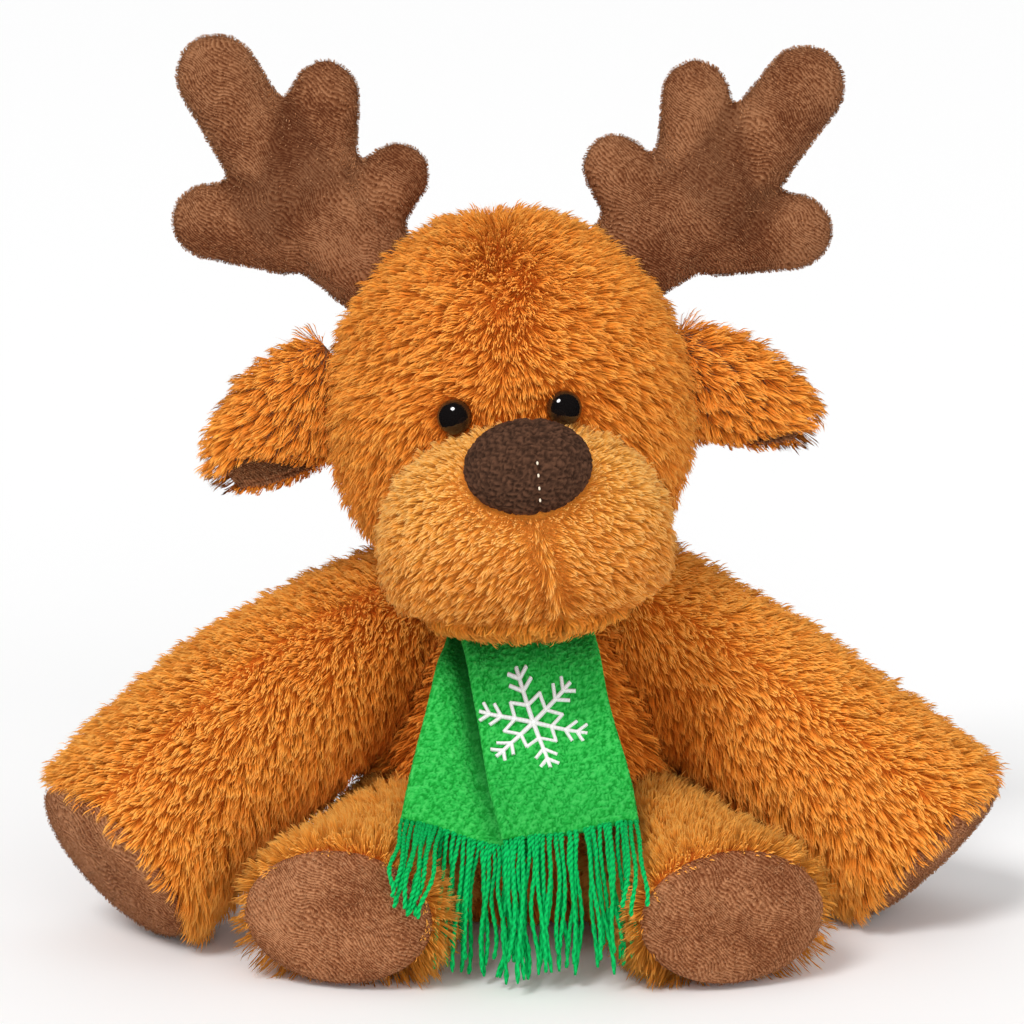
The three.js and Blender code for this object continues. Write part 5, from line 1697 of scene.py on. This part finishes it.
class ScarfOperator(bpy.types.Operator):
    """Makes the scarf, its fringe and its snowflake"""

    bl_idname = "deer.scarf"
    bl_label = "Scarf"

    def execute(self, context):
        cloth = settings()[1]
        # Shaded and lit copies of the fleece colour, for the painted shade and painted highlight of its curls
        fleece = material_of("fleece", fleece_finish, tuple(cloth.fleece), shade(cloth.fleece, 0.25, 0.62, 0.4),
                             shade(cloth.fleece, 2.6, 1.3, 1.7))
        self.collar(cloth, fleece)
        for number, (name, tail) in enumerate(TAILS.items()):
            piece = self.tail(name, tail, cloth, fleece)
            along = [self.fringe(name, tail, cloth, 90 + number)]
            if name == "upper":
                along.append(self.snowflake(tail, cloth))
        return {"FINISHED"}

    @staticmethod
    def tail(name, tail, cloth, fleece):
        """A slab with round borders over the tail's own sheet, its top curled by waves 2 to 3 mm long."""
        along, across = spread((0, tail.length, 160), (-SCARF_HALF, SCARF_HALF, 94))
        wander = waver(np.column_stack([along.ravel(), across.ravel(), 0 * along.ravel()]), 60, 80)
        wander = wander.reshape(*along.shape, 3)
        beyond = TAILS["upper"].across_of(*tail.laid(across, along)) + SCARF_HALF
        deep = fade(100, 45, along)
        # Painted shade: the upper tail darker towards its lower end, the lower tail darker in the fold beside the upper
        # tail's edge
        if name == "upper":
            fold, painted_shade = upper_fold(beyond), 0.14 * fade(45, 95, along)
        else:
            fold = -3 * np.exp(-((beyond + 4) / 6) ** 2) * deep
            painted_shade = 0.85 * fade(-11, -1, beyond) * (0.35 + 0.65 * deep)
        grid = tail.points(across + 1.2 * wander[..., 0], along, 0.8 * wander[..., 1] + fold)
        points, quads, _ = slab(*slab_points(grid, cloth.thickness / MM))
        nap = curls(points, CURL_SIZE, 81)
        outward = grid_normals(grid).reshape(-1, 3)
        points = points + (nap * cloth.curl / MM)[:, None] * np.vstack([outward, -outward])
        piece = new_piece(f"scarf_{name}", points, quads)
        set_attribute(piece, "nap", nap * 0.5 + 0.5)
        set_attribute(piece, "painted_shade", np.tile(painted_shade.ravel(), 2))
        return finished(piece, fleece, f"scarf_tail_{name}", [f"scarf_tail_{name}"])

    @staticmethod
    def collar(cloth, fleece):
        """The neck band: a rounded section carried round the oval of the neck, curled as the tails are."""
        turns, sides = 420, 56
        step, side = np.meshgrid(np.arange(turns), np.arange(sides), indexing="ij")
        turn, round_ = 2 * math.pi / turns * step, 2 * math.pi / sides * side
        points, middle = [collar_points(turn, round_, out).reshape(-1, 3) for out in (0, -BAND_THICK)]
        nap = curls(points, CURL_SIZE, 82)
        raised = nap * cloth.curl / MM + 0.6 * waver(points, 25, 83)[:, 0]
        points = points + raised[:, None] * unit(points - middle)
        ahead, next_ = (step + 1) % turns, (side + 1) % sides
        quads = np.stack([step * sides + side, ahead * sides + side, ahead * sides + next_, step * sides + next_], -1)
        piece = new_piece("scarf_band", *closed_by_volume(points, quads.reshape(-1, 4)))
        set_attribute(piece, "nap", nap * 0.5 + 0.5)
        finished(piece, fleece, "torso", ["scarf_collar"])

    @staticmethod
    def fringe(name, tail, cloth, seed):
        """Yarns of two twisted strands: a round section with two lobes, carried along a path that leaves the cloth's
        end, arches over and hangs."""
        chance = np.random.default_rng(seed)
        count, rings, sides = cloth.yarns, 44, 10

        def drawn(low, high):
            return chance.uniform(low, high, (count, 1))

        across = (np.linspace(-0.5, 0.5, count) * FRINGE_WIDE + chance.normal(size=count) * 0.5)[:, None]
        t = np.linspace(0, 1, rings)[None]
        start = tail.points(across[:, 0], np.full(count, tail.length - 1.0), 0)
        top = np.zeros(count)
        for form in (LIMBS["leg_left"], LIMBS["leg_right"]):
            places, aside, _ = form.local(start)
            wide, high = form.ovals(places)
            over = form.start[2] + high * np.sqrt(np.clip(1 - (aside / wide) ** 2, 0, 1))
            top = np.maximum(top, np.where(np.abs(aside) < wide, over, 0))
        # Yarns that start over a leg reach forward past its sole
        forward = np.where(top > start[:, 2] / 2, SOLE_AHEAD + 5 + start[:, 1], 0)
        reach = 14 + 2 * tail.layer + np.maximum(forward, 0) + chance.normal(size=count) * 2.5
        fall = np.minimum(start[:, 2] - 2, 50 - forward) * chance.uniform(0.78, 1.06, count)
        quarter = math.pi / 2 * t
        path = start[:, None] + np.stack([0 * t + 0 * across, -reach[:, None] * np.sin(quarter),
                                          -fall[:, None] * (1 - np.cos(quarter))], -1)
        bunch = np.round(across / BUNCH + 0.3 * np.sin(across)) * BUNCH + 3 * np.sin(across / 5)
        loose = (across * 0.1 + 0.5 * (bunch - across) + chance.normal(size=(count, 1)) * 1.6) * t ** 1.3
        wobble = drawn(0.6, 2.0) * np.sin(t * drawn(5, 12) + drawn(0, 6)) * t
        path[..., 0] += loose + wobble + math.sin(tail.turn) * 12 * t ** 1.2
        path[..., 1] -= drawn(0, 3) * t
        path[..., 1] += 1.3 * np.cos(t * drawn(4, 9) + drawn(0, 6)) * t
        path[..., 2] = np.maximum(path[..., 2], 1.4)
        tangent = unit(np.gradient(path, axis=1))
        first = unit(np.cross(tangent, np.broadcast_to(BACK, tangent.shape) + 0.01))
        second = np.cross(tangent, first)
        angle = np.linspace(0, 2 * math.pi, sides, endpoint=False)
        length = np.cumsum(np.linalg.norm(np.diff(path, axis=1, prepend=path[:, :1]), axis=-1), axis=1)
        twist = length[..., None] * 2 * math.pi / YARN_TWIST + chance.uniform(0, 6, (count, 1, 1))
        lobes = np.abs(np.cos(angle - twist))
        thick = (1 + 0.12 * np.sin(length * 0.9 + across)) * np.clip((1.02 - t) * 30, 0.35, 1)
        girth = cloth.yarn / MM / 2 * (0.62 + 0.42 * lobes) * thick[..., None]
        points = path[:, :, None] + girth[..., None] * (
            np.cos(angle)[:, None] * first[:, :, None] + np.sin(angle)[:, None] * second[:, :, None])
        points = np.concatenate([points.reshape(count, -1, 3), path[:, [0, -1]]], 1)
        quads, caps = ring_faces(rings, sides, rings * sides, rings * sides + 1)
        shift = (np.arange(count) * (rings * sides + 2))[:, None, None]
        piece = new_piece(f"yarns_{name}", *closed_by_volume(
            points.reshape(-1, 3), (quads + shift).reshape(-1, 4), (caps + shift).reshape(-1, 3)))
        set_attribute(piece, "nap", np.concatenate([lobes.reshape(count, -1), np.full((count, 2), 0.5)], 1))
        # A dark copy of the yarn colour, for the painted shade in its grooves
        return finished(piece, material_of("yarn", yarn_finish, tuple(cloth.fringe), shade(cloth.fringe, 0.15)),
                        f"scarf_tail_{name}", [f"fringe_{name}"])

    @staticmethod
    def bars():
        """The snowflake's bars: both ends, and the width at each. Every arm has four twigs, and a peak stands
        between each two arms."""
        def polar(share, course, start=(0, 0)):
            return start[0] + FLAKE_ARM * share * math.cos(course), start[1] + FLAKE_ARM * share * math.sin(course)

        for turn in range(6):
            course = math.radians(60 * turn)
            yield (0, 0), polar(1, course), 1.9, 1.5
            for share, length in ((.6, .26), (.82, .22)):
                root = polar(share, course)
                for lean in (-50, 50):
                    yield root, polar(length, course + math.radians(lean), root), 1.5, 1.4
            for foot in (course, course + math.pi / 3):
                yield polar(.34, foot), polar(.56, course + math.pi / 6), 1.5, 1.4

    @classmethod
    def snowflake(cls, tail, cloth):
        """Bars of satin stitch: each a low dome across its width, ridged along by one wave for each thread, laid on
        the fleece."""
        shapes, naps = [], []
        cosine, sine = math.cos(FLAKE_TURN), math.sin(FLAKE_TURN)
        for root, end, wide, end_wide in cls.bars():
            root, end = np.array([root, end])
            length = np.linalg.norm(end - root)
            way = (end - root) / length
            s, u = spread((-0.4, length + 0.3, int(length / 0.2) + 2), (-1, 1, 7))
            half = (wide + (end_wide - wide) * s / length) / 2
            ridge = 0.5 + 0.5 * np.cos(2 * math.pi * (s + 0.25 * u) / THREAD)
            flat = root + s[..., None] * way + (u * half)[..., None] * np.array([-way[1], way[0]])
            lift = 0.25 + 0.85 * np.sqrt(np.clip(1 - u ** 2, 0, 1)) + 0.16 * ridge
            x, y = flat[..., 0] * cosine - flat[..., 1] * sine, flat[..., 0] * sine + flat[..., 1] * cosine
            surface = cloth.thickness / MM / 2 + 0.2 + upper_fold(FLAKE_ACROSS + x + SCARF_HALF)
            shapes.append(slab(*[tail.points(FLAKE_ACROSS + x, FLAKE_ALONG - y, surface + out)
                                 for out in (lift, -0.8)]))
            naps += [ridge.ravel(), np.zeros(ridge.size)]
        piece = new_piece("snowflake_stitches", *joined(shapes))
        set_attribute(piece, "nap", np.concatenate(naps))
        return finished(piece, material_of("satin thread", thread_finish, tuple(cloth.thread)), "scarf_tail_upper",
                        ["snowflake"])


def curls(points, size, seed):
    """The nap of fleece from nought below to one above: a sum of waves, bent by broader ones."""
    bent = points + 0.9 * waver(points, size * 2.2, seed)
    rough = waver(bent, size, seed + 1)
    return np.clip(1.6 * rough[:, 0] + 0.8 * waver(bent, size * 0.5, seed + 2)[:, 1], -1, 1)


class InsideOperator(bpy.types.Operator):
    """Gives the parts inside their materials"""

    bl_idname = "deer.inside"
    bl_label = "Inside"

    def execute(self, context):
        for node in ("eye_washer_left", "eye_washer_right"):
            dress(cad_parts[node], material_of("washer plastic", plain_finish, (0.7, 0.7, 0.64), 400.0, 0.0001))
        dress(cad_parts["pellet_bag"], material_of("bag cotton", weave_finish, (0.72, 0.65, 0.55)))
        return {"FINISHED"}


class DeerPanel(bpy.types.Panel):
    """Lists the deer's operators"""

    bl_idname = "VIEW3D_PT_deer"
    bl_label = "Plush deer"
    bl_space_type = "VIEW_3D"
    bl_region_type = "UI"
    bl_category = "Deer"

    def draw(self, context):
        for operator in OPERATORS:
            self.layout.operator(operator.bl_idname)
        for group in (context.scene.deer_pile, context.scene.deer_scarf, context.scene.deer_stage):
            box = self.layout.box()
            for name in group.bl_rna.properties.keys():
                if name not in ("rna_type", "name"):
                    box.prop(group, name)


OPERATORS = [StageOperator, BodyOperator, LimbsOperator, HeadOperator, FaceOperator, AntlersOperator, EarsOperator,
             ScarfOperator, InsideOperator]
GROUPS = {"deer_pile": DeerPile, "deer_scarf": DeerScarf, "deer_stage": DeerStage}


def register():
    for kind in (*GROUPS.values(), *OPERATORS, DeerPanel):
        bpy.utils.register_class(kind)
    for name, kind in GROUPS.items():
        setattr(bpy.types.Scene, name, PointerProperty(type=kind))


def unregister():
    for name in GROUPS:
        delattr(bpy.types.Scene, name)
    for kind in reversed((*GROUPS.values(), *OPERATORS, DeerPanel)):
        bpy.utils.unregister_class(kind)


def main():
    register()
    for make in (bpy.ops.deer.stage, bpy.ops.deer.body, bpy.ops.deer.limbs, bpy.ops.deer.head, bpy.ops.deer.face,
                 bpy.ops.deer.antlers, bpy.ops.deer.ears, bpy.ops.deer.scarf, bpy.ops.deer.inside):
        make()


if __name__ == "__main__":
    main()
